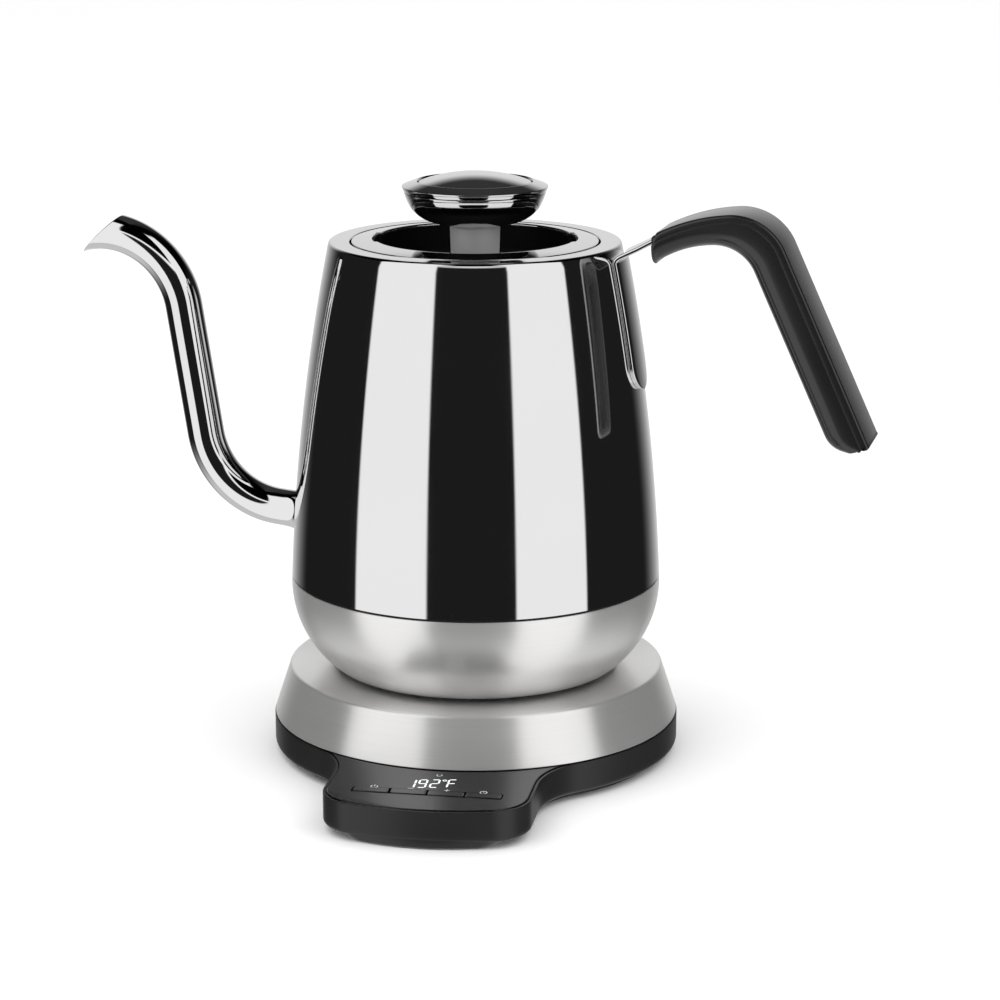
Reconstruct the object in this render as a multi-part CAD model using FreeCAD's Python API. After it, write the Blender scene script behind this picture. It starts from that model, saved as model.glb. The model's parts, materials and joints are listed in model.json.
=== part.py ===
"""Electric gooseneck kettle on its heating base, in millimetres.

Frame: +Z up, origin on the table under the kettle's axis, control pod towards -Y,
cord inlet towards +Y. The kettle stands on the base turned a few degrees, with its
spout towards -X and its handle towards +X.
"""
import FreeCAD, Part
import math
import os

V = FreeCAD.Vector
UP = V(0, 0, 1)

# ---------------------------------------------------------------- driving sizes
RIM_Z = 184.5            # top of the kettle's rim above the table
SEAM_Z = 64.6            # dark seam between the polished body and the brushed band
RIM_R = 51.3             # polished body, outer radius at the rim
WAIST_R = 61.1           # polished body, outer radius halfway down
SEAM_R = 66.0            # polished body, outer radius at the seam
SHEET = 0.9              # steel sheet thickness of the vessel
SEAM_GAP = 0.8           # height of the seam ring
SEAM_INNER_R = 63.9
FLOOR_R = 64.5           # vessel floor, pressed into the foot of the polished body
FLOOR_Z = 67.2
PROBE_Y = 22.0           # temperature probe, in front of the middle of the floor
PROBE_R = 2.4
SPREADER_R = 52.0
ELEMENT_BEND_R = 40.0
ELEMENT_ROD_R = 3.5
COVER_R = 49.6           # plastic cover that closes the band from below
COVER_LOW_Z = 33.4
COVER_TOP_Z = 35.4
KETTLE_TURN = -5.5       # degrees, how far the kettle is turned on its base

BAND_BOTTOM_Z = 32.5     # underside of the brushed band
BAND_BOTTOM_R = 51.5
BAND_BELLY = (62.4, 45.9)  # radius and height of a point on the band's curve

COLLAR_R = 49.0          # mouth collar, where it is welded to the body's top
MOUTH_R = 43.9           # filler mouth
LEDGE_R = 40.5           # ledge in the mouth that the lid stands on
LEDGE_Z = 173.0
LID_R = 43.5             # lid ring, outer radius
LID_RISE = 1.0           # how much the lid ring climbs towards the well
WELL_R = 34.8            # dished well in the lid
WELL_FLOOR_Z = 173.6
LID_PLATE_Z = 168.5      # underside of the lid
LID_PLATE_T = 0.8
LID_SKIRT_R = 39.8
LID_SKIRT_LOW_Z = 170.0
LID_SKIRT_TOP_Z = 180.6
KNOB_R = 25.6
KNOB_RIM_Z = 203.6
KNOB_TOP_Z = 208.4
KNOB_BASE_Z = 190.9
KNOB_SEAM_Z = 201.7      # joint between the knob's bowl and its rim
KNOB_CREASE = (22.6, 196.2)   # where the bowl's side turns under
KNOB_CAP_R = 19.7
KNOB_BORE_R = 2.1
LID_BORE_R = 2.4

SPOUT_R = 6.7            # gooseneck tube, outer radius
SPOUT_BORE_R = 5.9
SPOUT_ROOT = (-58.0, 81.6)  # start of the centreline, inside the body wall
SPOUT_RISE = 6.0         # degrees that the root climbs
SPOUT_LEAN = 8.8         # degrees that the long run leans away from upright
SPOUT_BEND_R = 31.0
SPOUT_ROOT_RUN = 16.9
SPOUT_LONG_RUN = 47.0
SPOUT_TIP_TURN = 24.0    # degrees that the tip bends past level
TIP_LOW = (-148.6, 173.4)   # lower and upper end of the slanting mouth
TIP_HIGH = (-132.2, 188.4)

GRIP_W = 24.0
GRIP_BACK_START = (65.2, 190.4)
GRIP_BACK_MOVES = ((66.0, -24.0), (20.1, -70.3), (73.4, None))
GRIP_BACK_HEADING = 29.0
GRIP_FINGER_START = (65.5, 180.0)
GRIP_FINGER_MOVES = ((37.9, -33.3), (15.0, -68.0), (61.0, None))
GRIP_FINGER_HEADING = 36.0
GRIP_COVER_T = 3.0       # thickness of the grip's back cover
GRIP_NOSE_R = 9.0        # rounding of the free end, finger side
GRIP_ROUND = 6.0         # rounding along the finger side
STRAP_W = 20.0
STRAP_T = 1.6
STRAP_LOW_Z = 134.5      # rounded lower end of the strap's plate
STRAP_BEND_Z = 181.0     # where the plate bends out to the grip
STRAP_DEPTH = 2.2        # tang centre below the grip's back face

BASE_R = 73.0
SKIRT_LOW = (72.7, 14.2)
SKIRT_HIGH = (67.4, 30.2)
BASE_TOP_Z = 30.9
CHASSIS_LOW_Z = 2.4
PLATE_TOP_Z = 3.2
CHASSIS_TOP_Z = 13.3
CHASSIS_WALL = 2.2
CHASSIS_HOLLOW_R = 69.0
FLOOR_PLATE_LOW_Z = 0.4
TONGUE_HALF_W = 28.5     # floor plate's tongue under the pod
TONGUE_INSET = 0.4       # tongue's front edge inside the pod's outline
POD_HALF_W = 35.3
POD_NECK_R = 30.0        # hollow curve where the pod flows into the round base
POD_SIDE_Y = -95.0
POD_CORNER = (32.3, -103.4)
POD_FRONT = (23.0, -109.3)
POD_NOSE_Y = -112.3
DECK_Z = 11.9            # deck under the fascia
FASCIA_Z = 13.6          # top of the glossy fascia
FASCIA_BACK_Y = -50.0
FASCIA_INSET = 1.2

KEY_COUNT = 4
KEY_PITCH = 12.75
KEY_SIZE = (12.2, 4.6)
KEY_Y = -95.0
KEY_LOW_Z = 12.55
KEY_TOP_Z = 13.8
KEY_NAMES = ("key_power", "key_minus", "key_plus", "key_hold")
STEM_R = 1.6
STEM_LOW_Z = 9.9

TOWER_R = 16.4           # round connector that the kettle drops onto
TOWER_TOP_Z = 43.5
SOCKET_R = 21.6
SOCKET_BORE_R = 16.9
SOCKET_LOW_Z = 31.05
SOCKET_TOP_Z = 47.5
INLET_R = 3.5            # cord inlet bore
INLET_Z = 7.9
GLAND_R = 4.6
CLAMP_Y = (56.5, 62.5)
CLAMP_HALF_W = 11.0
CLAMP_SCREW_X = 8.0
CLAMP_GAP_HALF_W = 5.0   # gap that the cord passes through
CLAMP_GAP_Z = (5.6, 9.6)
CLAMP_TOP_Z = 11.4
BOARD_Z = (5.2, 6.8)     # control board in the pod
POWER_BOARD_Z = (6.2, 7.8)
POWER_BOARD_R = 56.0
FIT = 0.05               # air between butted parts on a board or a plate
ON_POWER_BOARD = POWER_BOARD_Z[1] + FIT


# ---------------------------------------------------------------- helpers
def point(pair):
    """A point of the upright XZ plane."""
    return V(pair[0], 0, pair[1])


def line(a, b):
    return Part.LineSegment(a, b).toShape()


def arc(a, middle, b):
    return Part.Arc(a, middle, b).toShape()


def outline(start, *steps):
    """Closed face in the XZ plane: a step is (x, z) for a line or (mx, mz, x, z) for an arc."""
    here = point(start)
    edges = []
    for step in steps:
        there = point(step[-2:])
        if len(step) == 4:
            edges.append(arc(here, point(step[:2]), there))
        else:
            edges.append(line(here, there))
        here = there
    if here.distanceToPoint(point(start)) > 1e-6:
        edges.append(line(here, point(start)))
    return Part.Face(Part.Wire(edges))


def lathe(*args):
    """Turn an outline about the kettle's axis."""
    return outline(*args).revolve(V(0, 0, 0), UP, 360)


def ring(inner, outer, low, high):
    body = Part.makeCylinder(outer, high - low, V(0, 0, low))
    if inner <= 0:
        return body
    return body.cut(Part.makeCylinder(inner, high - low + 2, V(0, 0, low - 1)))


def post(x, y, radius, low, high):
    return Part.makeCylinder(radius, high - low, V(x, y, low))


def block(x0, x1, y0, y1, z0, z1):
    return Part.makeBox(x1 - x0, y1 - y0, z1 - z0, V(x0, y0, z0))


def around(radius, count, first=0.0):
    """Evenly spaced points on a circle."""
    angles = [math.radians(first + 360.0 * i / count) for i in range(count)]
    return [(radius * math.cos(a), radius * math.sin(a)) for a in angles]


def rounded_block(x0, x1, y0, y1, z0, z1, radius):
    solid = block(x0, x1, y0, y1, z0, z1)
    upright = [e for e in solid.Edges if abs(e.tangentAt(e.FirstParameter).z) > 0.99]
    return solid.makeFillet(radius, upright)


def trace(start, heading, moves, offset=0.0):
    """Walk a path in XZ: (radius, turn) is an arc, (length, None) a run.

    offset moves the path to its right-hand side. Returns the edges and the end point.
    """
    angle = math.radians(heading)
    here = V(start[0] + offset * math.sin(angle), 0, start[1] - offset * math.cos(angle))
    edges = []
    for size, turn in moves:
        if turn is None:
            there = here + V(math.cos(angle), 0, math.sin(angle)) * size
            edges.append(line(here, there))
        else:
            sign = 1.0 if turn > 0 else -1.0
            radius = size + sign * offset
            side = V(-math.sin(angle), 0, math.cos(angle)) * (sign * radius)
            centre = here + side
            half = math.radians(turn) / 2.0
            middle = centre - rotated(side, half)
            there = centre - rotated(side, 2.0 * half)
            edges.append(arc(here, middle, there))
            angle += 2.0 * half
        here = there
    return edges, here


def rotated(vector, angle):
    """Turn a vector of the XZ plane anticlockwise, from +X towards +Z."""
    c = math.cos(angle)
    s = math.sin(angle)
    return V(vector.x * c - vector.z * s, 0, vector.x * s + vector.z * c)


def fuse(shapes):
    result = shapes[0]
    for shape in shapes[1:]:
        result = result.fuse(shape)
    return result.removeSplitter()


def cut(shape, *tools):
    for tool in tools:
        shape = shape.cut(tool)
    return shape


def group(solids):
    """Separate solids kept together in one node."""
    return Part.makeCompound(solids)


def body_circle():
    """Centre and radius of the circle that the body's side follows."""
    a, b, c = (RIM_R, RIM_Z), (WAIST_R, (RIM_Z + SEAM_Z) / 2), (SEAM_R, SEAM_Z)
    curve = Part.Arc(point(a), point(b), point(c)).toShape().Curve
    return curve.Center.x, curve.Center.z, curve.Radius


BODY_CX, BODY_CZ, BODY_CURVE_R = body_circle()


def body_radius(z, inset=0.0):
    return BODY_CX + math.sqrt((BODY_CURVE_R - inset) ** 2 - (z - BODY_CZ) ** 2)


# ---------------------------------------------------------------- vessel
def body_shell():
    """Tapered wall of the vessel, rolled over at the top."""
    low = SEAM_Z + SEAM_GAP / 2
    top = RIM_Z - 0.8
    mid = (low + top) / 2
    inner_top = RIM_Z - SHEET
    shell = lathe(
        (body_radius(low), low),
        (body_radius(mid), mid, body_radius(top), top),
        (RIM_R - 0.2, RIM_Z - 0.2, RIM_R - 0.8, RIM_Z),
        (COLLAR_R, RIM_Z),
        (COLLAR_R, inner_top),
        (body_radius(inner_top, SHEET), inner_top),
        (body_radius(mid, SHEET), mid, body_radius(low, SHEET), low),
    )
    return shell.cut(spout_tube(SPOUT_BORE_R))


def mouth_collar():
    """Flat ring, mouth wall and ledge, welded inside the rolled top of the body."""
    inner_top = RIM_Z - SHEET
    wall_r = MOUTH_R + SHEET
    return lathe(
        (COLLAR_R, RIM_Z),
        (MOUTH_R + 0.7, RIM_Z),
        (MOUTH_R + 0.2, RIM_Z - 0.2, MOUTH_R, RIM_Z - 0.7),
        (MOUTH_R, LEDGE_Z),
        (LEDGE_R, LEDGE_Z),
        (LEDGE_R, LEDGE_Z - SHEET),
        (wall_r, LEDGE_Z - SHEET),
        (wall_r, inner_top),
        (COLLAR_R, inner_top),
    )


def vessel_core():
    """Solid that fills the polished body out to its outer surface."""
    mid = (SEAM_Z + RIM_Z) / 2
    return lathe(
        (0, SEAM_Z - 5), (SEAM_R, SEAM_Z - 5), (SEAM_R, SEAM_Z),
        (body_radius(mid), mid, RIM_R, RIM_Z), (0, RIM_Z),
    )


def seam_ring():
    return ring(SEAM_INNER_R, SEAM_R - 0.4, SEAM_Z - SEAM_GAP / 2, SEAM_Z + SEAM_GAP / 2)


def lower_band():
    top = SEAM_Z - SEAM_GAP / 2
    belly_r, belly_z = BAND_BELLY
    wall = 1.0
    return lathe(
        (SEAM_R, top),
        (belly_r, belly_z, BAND_BOTTOM_R, BAND_BOTTOM_Z),
        (BAND_BOTTOM_R - 1.3, BAND_BOTTOM_Z + 0.6),
        (belly_r - wall, belly_z + 0.5, SEAM_R - wall, top),
    )


def vessel_floor():
    disc = ring(0, FLOOR_R, FLOOR_Z, FLOOR_Z + 1.0)
    rim = ring(FLOOR_R - SHEET, FLOOR_R, SEAM_Z + 0.6, FLOOR_Z)
    return disc.fuse(rim).removeSplitter().cut(probe_hole())


def probe_hole():
    return post(0, PROBE_Y, PROBE_R + 0.2, FLOOR_Z - 8, FLOOR_Z + 8)


def heat_spreader():
    return ring(0, SPREADER_R, FLOOR_Z - 3.9, FLOOR_Z - 0.1).cut(probe_hole())


def heating_element():
    """Rod bent to an open ring under the spreader, with two cold ends turned down."""
    rod = ELEMENT_ROD_R
    bend = ELEMENT_BEND_R
    height = FLOOR_Z - 4.0 - rod
    coil = Part.makeTorus(bend, rod, V(0, 0, height), UP, 0, 360, 320)
    coil.rotate(V(0, 0, 0), UP, 110)
    ends = []
    for angle in (110, 70):
        x = bend * math.cos(math.radians(angle))
        y = bend * math.sin(math.radians(angle))
        ends.append(post(x, y, rod, height - 12, height))
        ends.append(Part.makeSphere(rod, V(x, y, height)))
    return fuse([coil] + ends)


def thermostat():
    body_top = 58.5
    body = rounded_block(-17, 17, -14, 14, 50, body_top, 3)
    discs = [post(x, 0, 6, body_top, FLOOR_Z - 4.0) for x in (-9, 9)]
    return fuse([body] + discs)


def temperature_probe():
    tip = 72.0
    stem = post(0, PROBE_Y, PROBE_R, 56, tip)
    nut = post(0, PROBE_Y, 4.5, 56, 59)
    return fuse([stem, nut, Part.makeSphere(PROBE_R, V(0, PROBE_Y, tip))])


def cover_post_spots():
    return around(43, 3, 90)


def bottom_cover():
    disc = ring(SOCKET_R + 0.4, COVER_R, COVER_LOW_Z, COVER_TOP_Z)
    rim = ring(COVER_R - 1.8, COVER_R, COVER_TOP_Z, COVER_TOP_Z + 2.6)
    cover = fuse([disc, rim])
    for x, y in cover_post_spots():
        cover = cover.cut(post(x, y, 1.7, COVER_LOW_Z - 1, COVER_TOP_Z + 1))
        cover = cover.cut(post(x, y, 3.2, COVER_LOW_Z - 1, COVER_LOW_Z + 1.0))
    return cover


def cover_posts():
    """Threaded posts that hang from the spreader and take the cover's screws."""
    posts = []
    for x, y in cover_post_spots():
        bore = post(x, y, 1.2, COVER_TOP_Z - 1, COVER_TOP_Z + 8.6)
        posts.append(post(x, y, 2.6, COVER_TOP_Z, 54.0).cut(bore))
    return group(posts)


def bottom_cover_screws():
    screws = []
    under = COVER_LOW_Z + 1.0
    for x, y in cover_post_spots():
        head = post(x, y, 2.9, under - 0.9, under)
        shank = post(x, y, 1.2, under, COVER_TOP_Z + 8.1)
        slot = block(x - 2.0, x + 2.0, y - 0.35, y + 0.35, under - 1.0, under - 0.5)
        screws.append(head.fuse(shank).removeSplitter().cut(slot))
    return group(screws)


# ---------------------------------------------------------------- spout
def spout_moves():
    climb = 90.0 - SPOUT_RISE - SPOUT_LEAN
    arch = 90.0 - SPOUT_LEAN + SPOUT_TIP_TURN
    return (
        (SPOUT_ROOT_RUN, None),
        (SPOUT_BEND_R, -climb),
        (SPOUT_LONG_RUN, None),
        (SPOUT_BEND_R, arch),
    )


def spout_tube(radius):
    """Round bar along the gooseneck's centreline."""
    heading = 180.0 - SPOUT_RISE
    edges, _ = trace(SPOUT_ROOT, heading, spout_moves())
    direction = V(math.cos(math.radians(heading)), 0, math.sin(math.radians(heading)))
    section = Part.Wire(Part.makeCircle(radius, point(SPOUT_ROOT), direction))
    return Part.Wire(edges).makePipeShell([section], True, True)


def tip_cutter():
    """Block beyond the slanting mouth of the spout."""
    low = point(TIP_LOW)
    high = point(TIP_HIGH)
    along = (high - low).normalize()
    out = V(-along.z, 0, along.x)
    a = low - along * 40
    b = high + along * 40
    face = Part.Face(Part.makePolygon([a, b, b + out * 40, a + out * 40, a]))
    face.translate(V(0, -30, 0))
    return face.extrude(V(0, 60, 0))


def gooseneck_spout():
    heading = math.radians(180.0 - SPOUT_RISE)
    direction = V(math.cos(heading), 0, math.sin(heading))
    foot = point(SPOUT_ROOT) + direction * 5.0
    flare = Part.makeCone(8.4, SPOUT_R, 7.0, foot, direction)
    tube = spout_tube(SPOUT_R).fuse(flare).removeSplitter()
    tube = cut(tube, spout_tube(SPOUT_BORE_R), vessel_core(), tip_cutter())
    return tube


def spout_strainer():
    """Pierced disc over the spout's inlet, inside the vessel."""
    low_x = -62.4
    middle_z = 82.2
    disc = Part.makeCylinder(9.0, 0.6, V(low_x, 0, middle_z), V(1, 0, 0))
    for ring_r, count in ((0.0, 1), (3.0, 6), (6.0, 12)):
        for y, z in around(ring_r, count):
            hole = Part.makeCylinder(0.8, 3, V(low_x - 1, y, middle_z + z), V(1, 0, 0))
            disc = disc.cut(hole)
    return disc


# ---------------------------------------------------------------- handle
def slab(edges, width):
    """Closed XZ outline made solid, centred on the handle's plane."""
    face = Part.Face(Part.Wire(Part.__sortEdges__(edges)))
    face.translate(V(0, -width / 2, 0))
    return face.extrude(V(0, width, 0))


def grip_tracks():
    back, back_end = trace(GRIP_BACK_START, GRIP_BACK_HEADING, GRIP_BACK_MOVES)
    parting, parting_end = trace(
        GRIP_BACK_START, GRIP_BACK_HEADING, GRIP_BACK_MOVES, GRIP_COVER_T)
    finger, finger_end = trace(GRIP_FINGER_START, GRIP_FINGER_HEADING, GRIP_FINGER_MOVES)
    return (back, back_end), (parting, parting_end), (finger, finger_end)


def start_of(edges):
    return edges[0].valueAt(edges[0].FirstParameter)


def long_edges(solid, y_side, near, distance):
    """Edges that lie on one side face and on a given track."""
    track = Part.Wire(near)
    chosen = []
    for edge in solid.Edges:
        mid = edge.valueAt((edge.FirstParameter + edge.LastParameter) / 2)
        if abs(abs(mid.y) - y_side) > 1e-3:
            continue
        flat = Part.Vertex(V(mid.x, 0, mid.z))
        if flat.distToShape(track)[0] < distance:
            chosen.append(edge)
    return chosen


def tang_bar(thickness, width, run):
    """Strap's tang, along the inside of the grip's back cover."""
    moves = GRIP_BACK_MOVES[:2] + ((run, None),)
    outer, outer_end = trace(
        GRIP_BACK_START, GRIP_BACK_HEADING, moves, STRAP_DEPTH - thickness / 2)
    inner, inner_end = trace(
        GRIP_BACK_START, GRIP_BACK_HEADING, moves, STRAP_DEPTH + thickness / 2)
    edges = outer + inner
    edges.append(line(outer_end, inner_end))
    edges.append(line(start_of(outer), start_of(inner)))
    return slab(edges, width)


def grip_back():
    (back, back_end), (parting, parting_end), _ = grip_tracks()
    edges = back + parting
    edges.append(line(back_end, parting_end))
    edges.append(line(start_of(back), start_of(parting)))
    cover = slab(edges, GRIP_W)
    cover = cover.makeFillet(1.8, long_edges(cover, GRIP_W / 2, back, 1e-3))
    return cover.cut(tang_bar(STRAP_T, STRAP_W - 6 + 0.2, 30.2))


def grip_front():
    """Finger side of the grip, rounded along its inner face and at its free end."""
    _, (parting, parting_end), (finger, finger_end) = grip_tracks()
    leg = math.radians(GRIP_BACK_HEADING + sum(turn for _, turn in GRIP_BACK_MOVES if turn))
    along = V(math.cos(leg), 0, math.sin(leg))
    inward = V(math.sin(leg), 0, -math.cos(leg))
    centre = finger_end - inward * GRIP_NOSE_R
    corner = centre + (inward + along) * (GRIP_NOSE_R * math.sqrt(0.5))
    nose = centre + along * GRIP_NOSE_R
    edges = parting + finger
    edges.append(arc(finger_end, corner, nose))
    edges.append(line(nose, parting_end))
    edges.append(line(start_of(parting), start_of(finger)))
    return slab(edges, GRIP_W).common(finger_bar())


def finger_bar():
    """Bar along the finger side with its two inner edges rounded."""
    heading = math.radians(GRIP_FINGER_HEADING)
    outward = V(-math.sin(heading), 0, math.cos(heading))
    half = GRIP_W / 2
    depth = 16.0
    bevel = GRIP_ROUND * (1 - math.sqrt(0.5))

    def place(y, u):
        return point(GRIP_FINGER_START) + outward * u + V(0, y, 0)

    section = Part.Wire([
        line(place(GRIP_ROUND - half, 0), place(half - GRIP_ROUND, 0)),
        arc(place(half - GRIP_ROUND, 0), place(half - bevel, bevel), place(half, GRIP_ROUND)),
        line(place(half, GRIP_ROUND), place(half, depth)),
        line(place(half, depth), place(-half, depth)),
        line(place(-half, depth), place(-half, GRIP_ROUND)),
        arc(place(-half, GRIP_ROUND), place(bevel - half, bevel), place(GRIP_ROUND - half, 0)),
    ])
    moves = GRIP_FINGER_MOVES[:2] + ((GRIP_FINGER_MOVES[2][0] + 12.0, None),)
    track, _ = trace(GRIP_FINGER_START, GRIP_FINGER_HEADING, moves)
    return Part.Wire(track).makePipeShell([section], True, True)


def handle_strap():
    """Plate welded on the body, bent out to the grip and on into it as a tang."""
    top = STRAP_BEND_Z
    outer = lathe(
        (body_radius(STRAP_LOW_Z) + 0.02, STRAP_LOW_Z),
        (body_radius(155) + 0.02, 155, body_radius(top) + 0.02, top),
        (body_radius(top) + STRAP_T, top),
        (body_radius(155) + STRAP_T, 155, body_radius(STRAP_LOW_Z) + STRAP_T, STRAP_LOW_Z),
    )
    half = STRAP_W / 2
    window = block(30, 80, -half, half, STRAP_LOW_Z + half, top + 5)
    window = window.fuse(Part.makeCylinder(half, 50, V(30, 0, STRAP_LOW_Z + half), V(1, 0, 0)))
    plate = outer.common(window)
    heading = math.radians(GRIP_BACK_HEADING)
    along = V(math.cos(heading), 0, math.sin(heading))
    across = V(math.sin(heading), 0, -math.cos(heading))
    mouth = point(GRIP_BACK_START) + across * STRAP_DEPTH
    foot = V(body_radius(top) + STRAP_T / 2, 0, top)
    foot = mouth - along * ((mouth.x - foot.x) / along.x)
    half_t = across * (STRAP_T / 2)
    arm = slab([
        line(foot - half_t, mouth - half_t), line(mouth - half_t, mouth + half_t),
        line(mouth + half_t, foot + half_t), line(foot + half_t, foot - half_t)], STRAP_W)
    knuckle = Part.makeCylinder(STRAP_T / 2, STRAP_W, V(foot.x, -half, foot.z), V(0, 1, 0))
    tang = tang_bar(STRAP_T, STRAP_W - 6, 30)
    strap = fuse([plate, arm, knuckle, tang])
    return strap.cut(vessel_core())


# ---------------------------------------------------------------- lid
def lid_flange():
    return lathe(
        (LID_R, RIM_Z - 1.2), (LID_R, RIM_Z - 0.3), (LID_R - 0.3, RIM_Z),
        (WELL_R + 1.4, RIM_Z + LID_RISE),
        (WELL_R + 0.4, RIM_Z + LID_RISE - 0.4, WELL_R, RIM_Z + LID_RISE - 1.4),
        (WELL_R, RIM_Z - 2.2), (WELL_R + 1.0, RIM_Z - 2.2),
        (WELL_R + 1.0, RIM_Z - 1.2),
        (41.5, RIM_Z - 1.2), (41.5, LEDGE_Z + 0.05), (42.5, LEDGE_Z + 0.05), (42.5, RIM_Z - 1.2),
    )


def lid_well():
    top = RIM_Z - 2.3
    well = lathe(
        (41.2, top), (WELL_R - 0.1, top),
        (WELL_R - 1.2, WELL_FLOOR_Z + 3.5),
        (WELL_R - 2.2, WELL_FLOOR_Z + 0.9, WELL_R - 4.6, WELL_FLOOR_Z),
        (LID_BORE_R, WELL_FLOOR_Z), (LID_BORE_R, WELL_FLOOR_Z - 1.6),
        (WELL_R - 4.0, WELL_FLOOR_Z - 1.6),
        (WELL_R - 0.9, WELL_FLOOR_Z - 0.1, WELL_R + 0.6, WELL_FLOOR_Z + 3.3),
        (WELL_R + 1.2, top - 1.4), (41.2, top - 1.4),
    )
    for side in (-1, 1):
        for row in (-1, 0, 1):
            vent = block(-1.2, 1.2, -0.9, 0.9, WELL_FLOOR_Z - 4, WELL_FLOOR_Z + 1)
            vent.translate(V(side * 27.0, row * 4.0, 0))
            well = well.cut(vent)
    return well


def lid_plate():
    """Steam-vented disc that closes the lid from below."""
    low = LID_PLATE_Z
    outer = LID_SKIRT_R
    top = low + LID_PLATE_T
    disc = lathe(
        (LID_BORE_R, low), (outer - 1.0, low), (outer - 0.3, low + 0.3, outer, low + 1.0),
        (outer, LID_SKIRT_LOW_Z), (outer - 0.8, LID_SKIRT_LOW_Z),
        (outer - 0.9, top + 0.2, outer - 1.4, top), (LID_BORE_R, top),
    )
    for x, y in around(30.0, 6):
        disc = disc.cut(post(x, y, 2.0, low - 1, top + 1))
    return disc


def lid_skirt():
    return ring(LID_SKIRT_R - 0.8, LID_SKIRT_R, LID_SKIRT_LOW_Z, LID_SKIRT_TOP_Z)


def lid_gasket():
    return lathe((42.55, 176.0), (43.3, 176.2), (43.6, 177.0, 43.3, 177.8), (42.55, 178.0))


def knob_post():
    return lathe(
        (LID_BORE_R, WELL_FLOOR_Z), (8.3, WELL_FLOOR_Z), (8.8, KNOB_BASE_Z - 2.0),
        (9.0, KNOB_BASE_Z - 0.8, 9.8, KNOB_BASE_Z), (LID_BORE_R, KNOB_BASE_Z),
    )


def knob_bowl():
    seam = KNOB_SEAM_Z - 0.1
    inner_z = KNOB_BASE_Z + 3.4
    return lathe(
        (KNOB_BORE_R, KNOB_BASE_Z), (11.8, KNOB_BASE_Z),
        (18.2, KNOB_BASE_Z + 1.5) + KNOB_CREASE,
        (23.9, KNOB_CREASE[1] + 2.6, 24.85, seam),
        (21.5, seam), (17.0, inner_z), (KNOB_BORE_R, inner_z),
    )


def knob_rim():
    seam = KNOB_SEAM_Z
    inner = KNOB_CAP_R + 0.2
    return lathe(
        (21.4, seam), (24.85, seam), (25.3, seam + 1.0, KNOB_R, KNOB_RIM_Z),
        (KNOB_R - 0.5, KNOB_RIM_Z + 0.25), (inner + 0.5, KNOB_RIM_Z + 1.9),
        (inner, KNOB_RIM_Z + 1.3), (inner, KNOB_RIM_Z - 0.6), (21.4, KNOB_RIM_Z - 0.6),
    )


def knob_cap():
    """Domed insert: a slice of a ball that rises to the knob's top."""
    radius = KNOB_CAP_R
    edge_z = KNOB_RIM_Z + 1.4
    rise = KNOB_TOP_Z - edge_z
    ball_r = (radius ** 2 + rise ** 2) / (2 * rise)
    ball = Part.makeSphere(ball_r, V(0, 0, KNOB_TOP_Z - ball_r))
    return ball.common(post(0, 0, radius, KNOB_RIM_Z, KNOB_TOP_Z + 1))


def knob_core():
    """Plug inside the knob that takes the screw and carries the bowl, rim and cap."""
    low = KNOB_BASE_Z + 3.5
    bore_top = 201.0
    return lathe(
        (KNOB_BORE_R, low), (16.5, low), (KNOB_CAP_R, KNOB_SEAM_Z - 1.0),
        (KNOB_CAP_R, KNOB_RIM_Z - 0.1), (0, KNOB_RIM_Z - 0.1), (0, bore_top),
        (KNOB_BORE_R, bore_top),
    )


def knob_screw():
    shank_r = KNOB_BORE_R - 0.1
    head_top = LID_PLATE_Z - 0.1
    head_low = head_top - 2.0
    head = post(0, 0, 3.8, head_low, head_top)
    corners = [V(x, y, head_low) for x, y in around(shank_r, 6)]
    recess = Part.Face(Part.makePolygon(corners + corners[:1])).extrude(V(0, 0, 1.2))
    return fuse([head.cut(recess), post(0, 0, shank_r, head_top, 200.8)])


# ---------------------------------------------------------------- connector
def kettle_socket():
    """Round socket under the kettle, open below for the base's connector."""
    shell = ring(0, SOCKET_R, SOCKET_LOW_Z, SOCKET_TOP_Z)
    shell = shell.cut(post(0, 0, SOCKET_BORE_R, SOCKET_LOW_Z - 1, TOWER_TOP_Z + 0.6))
    return shell.fuse(ring(9.2, 10.8, 34.6, TOWER_TOP_Z + 0.7)).removeSplitter()


def socket_pin():
    return fuse([post(0, 0, 2.0, 35.6, TOWER_TOP_Z + 0.6), Part.makeSphere(2.0, V(0, 0, 35.6))])


def connector_tower():
    tower = lathe(
        (0, 12.0), (15.0, 12.0), (15.0, 27.8), (24.0, 27.8), (24.0, 29.8), (18.2, 29.8),
        (18.2, 31.0), (TOWER_R, 31.0), (TOWER_R, TOWER_TOP_Z - 1.2),
        (TOWER_R - 1.2, TOWER_TOP_Z), (0, TOWER_TOP_Z),
    )
    groove = ring(8.2, 11.8, 33.6, TOWER_TOP_Z + 1)
    hole = post(0, 0, 3.4, 33.0, TOWER_TOP_Z + 1)
    return cut(tower, groove, hole)


def tower_contacts():
    """Brass liners in the tower's hole and groove."""
    pin_liner = ring(2.9, 3.35, 33.1, 41.0)
    outer_liner = ring(11.3, 11.75, 33.7, 40.0)
    inner_liner = ring(8.25, 8.7, 33.7, 40.0)
    return group([pin_liner, outer_liner, inner_liner])


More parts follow.
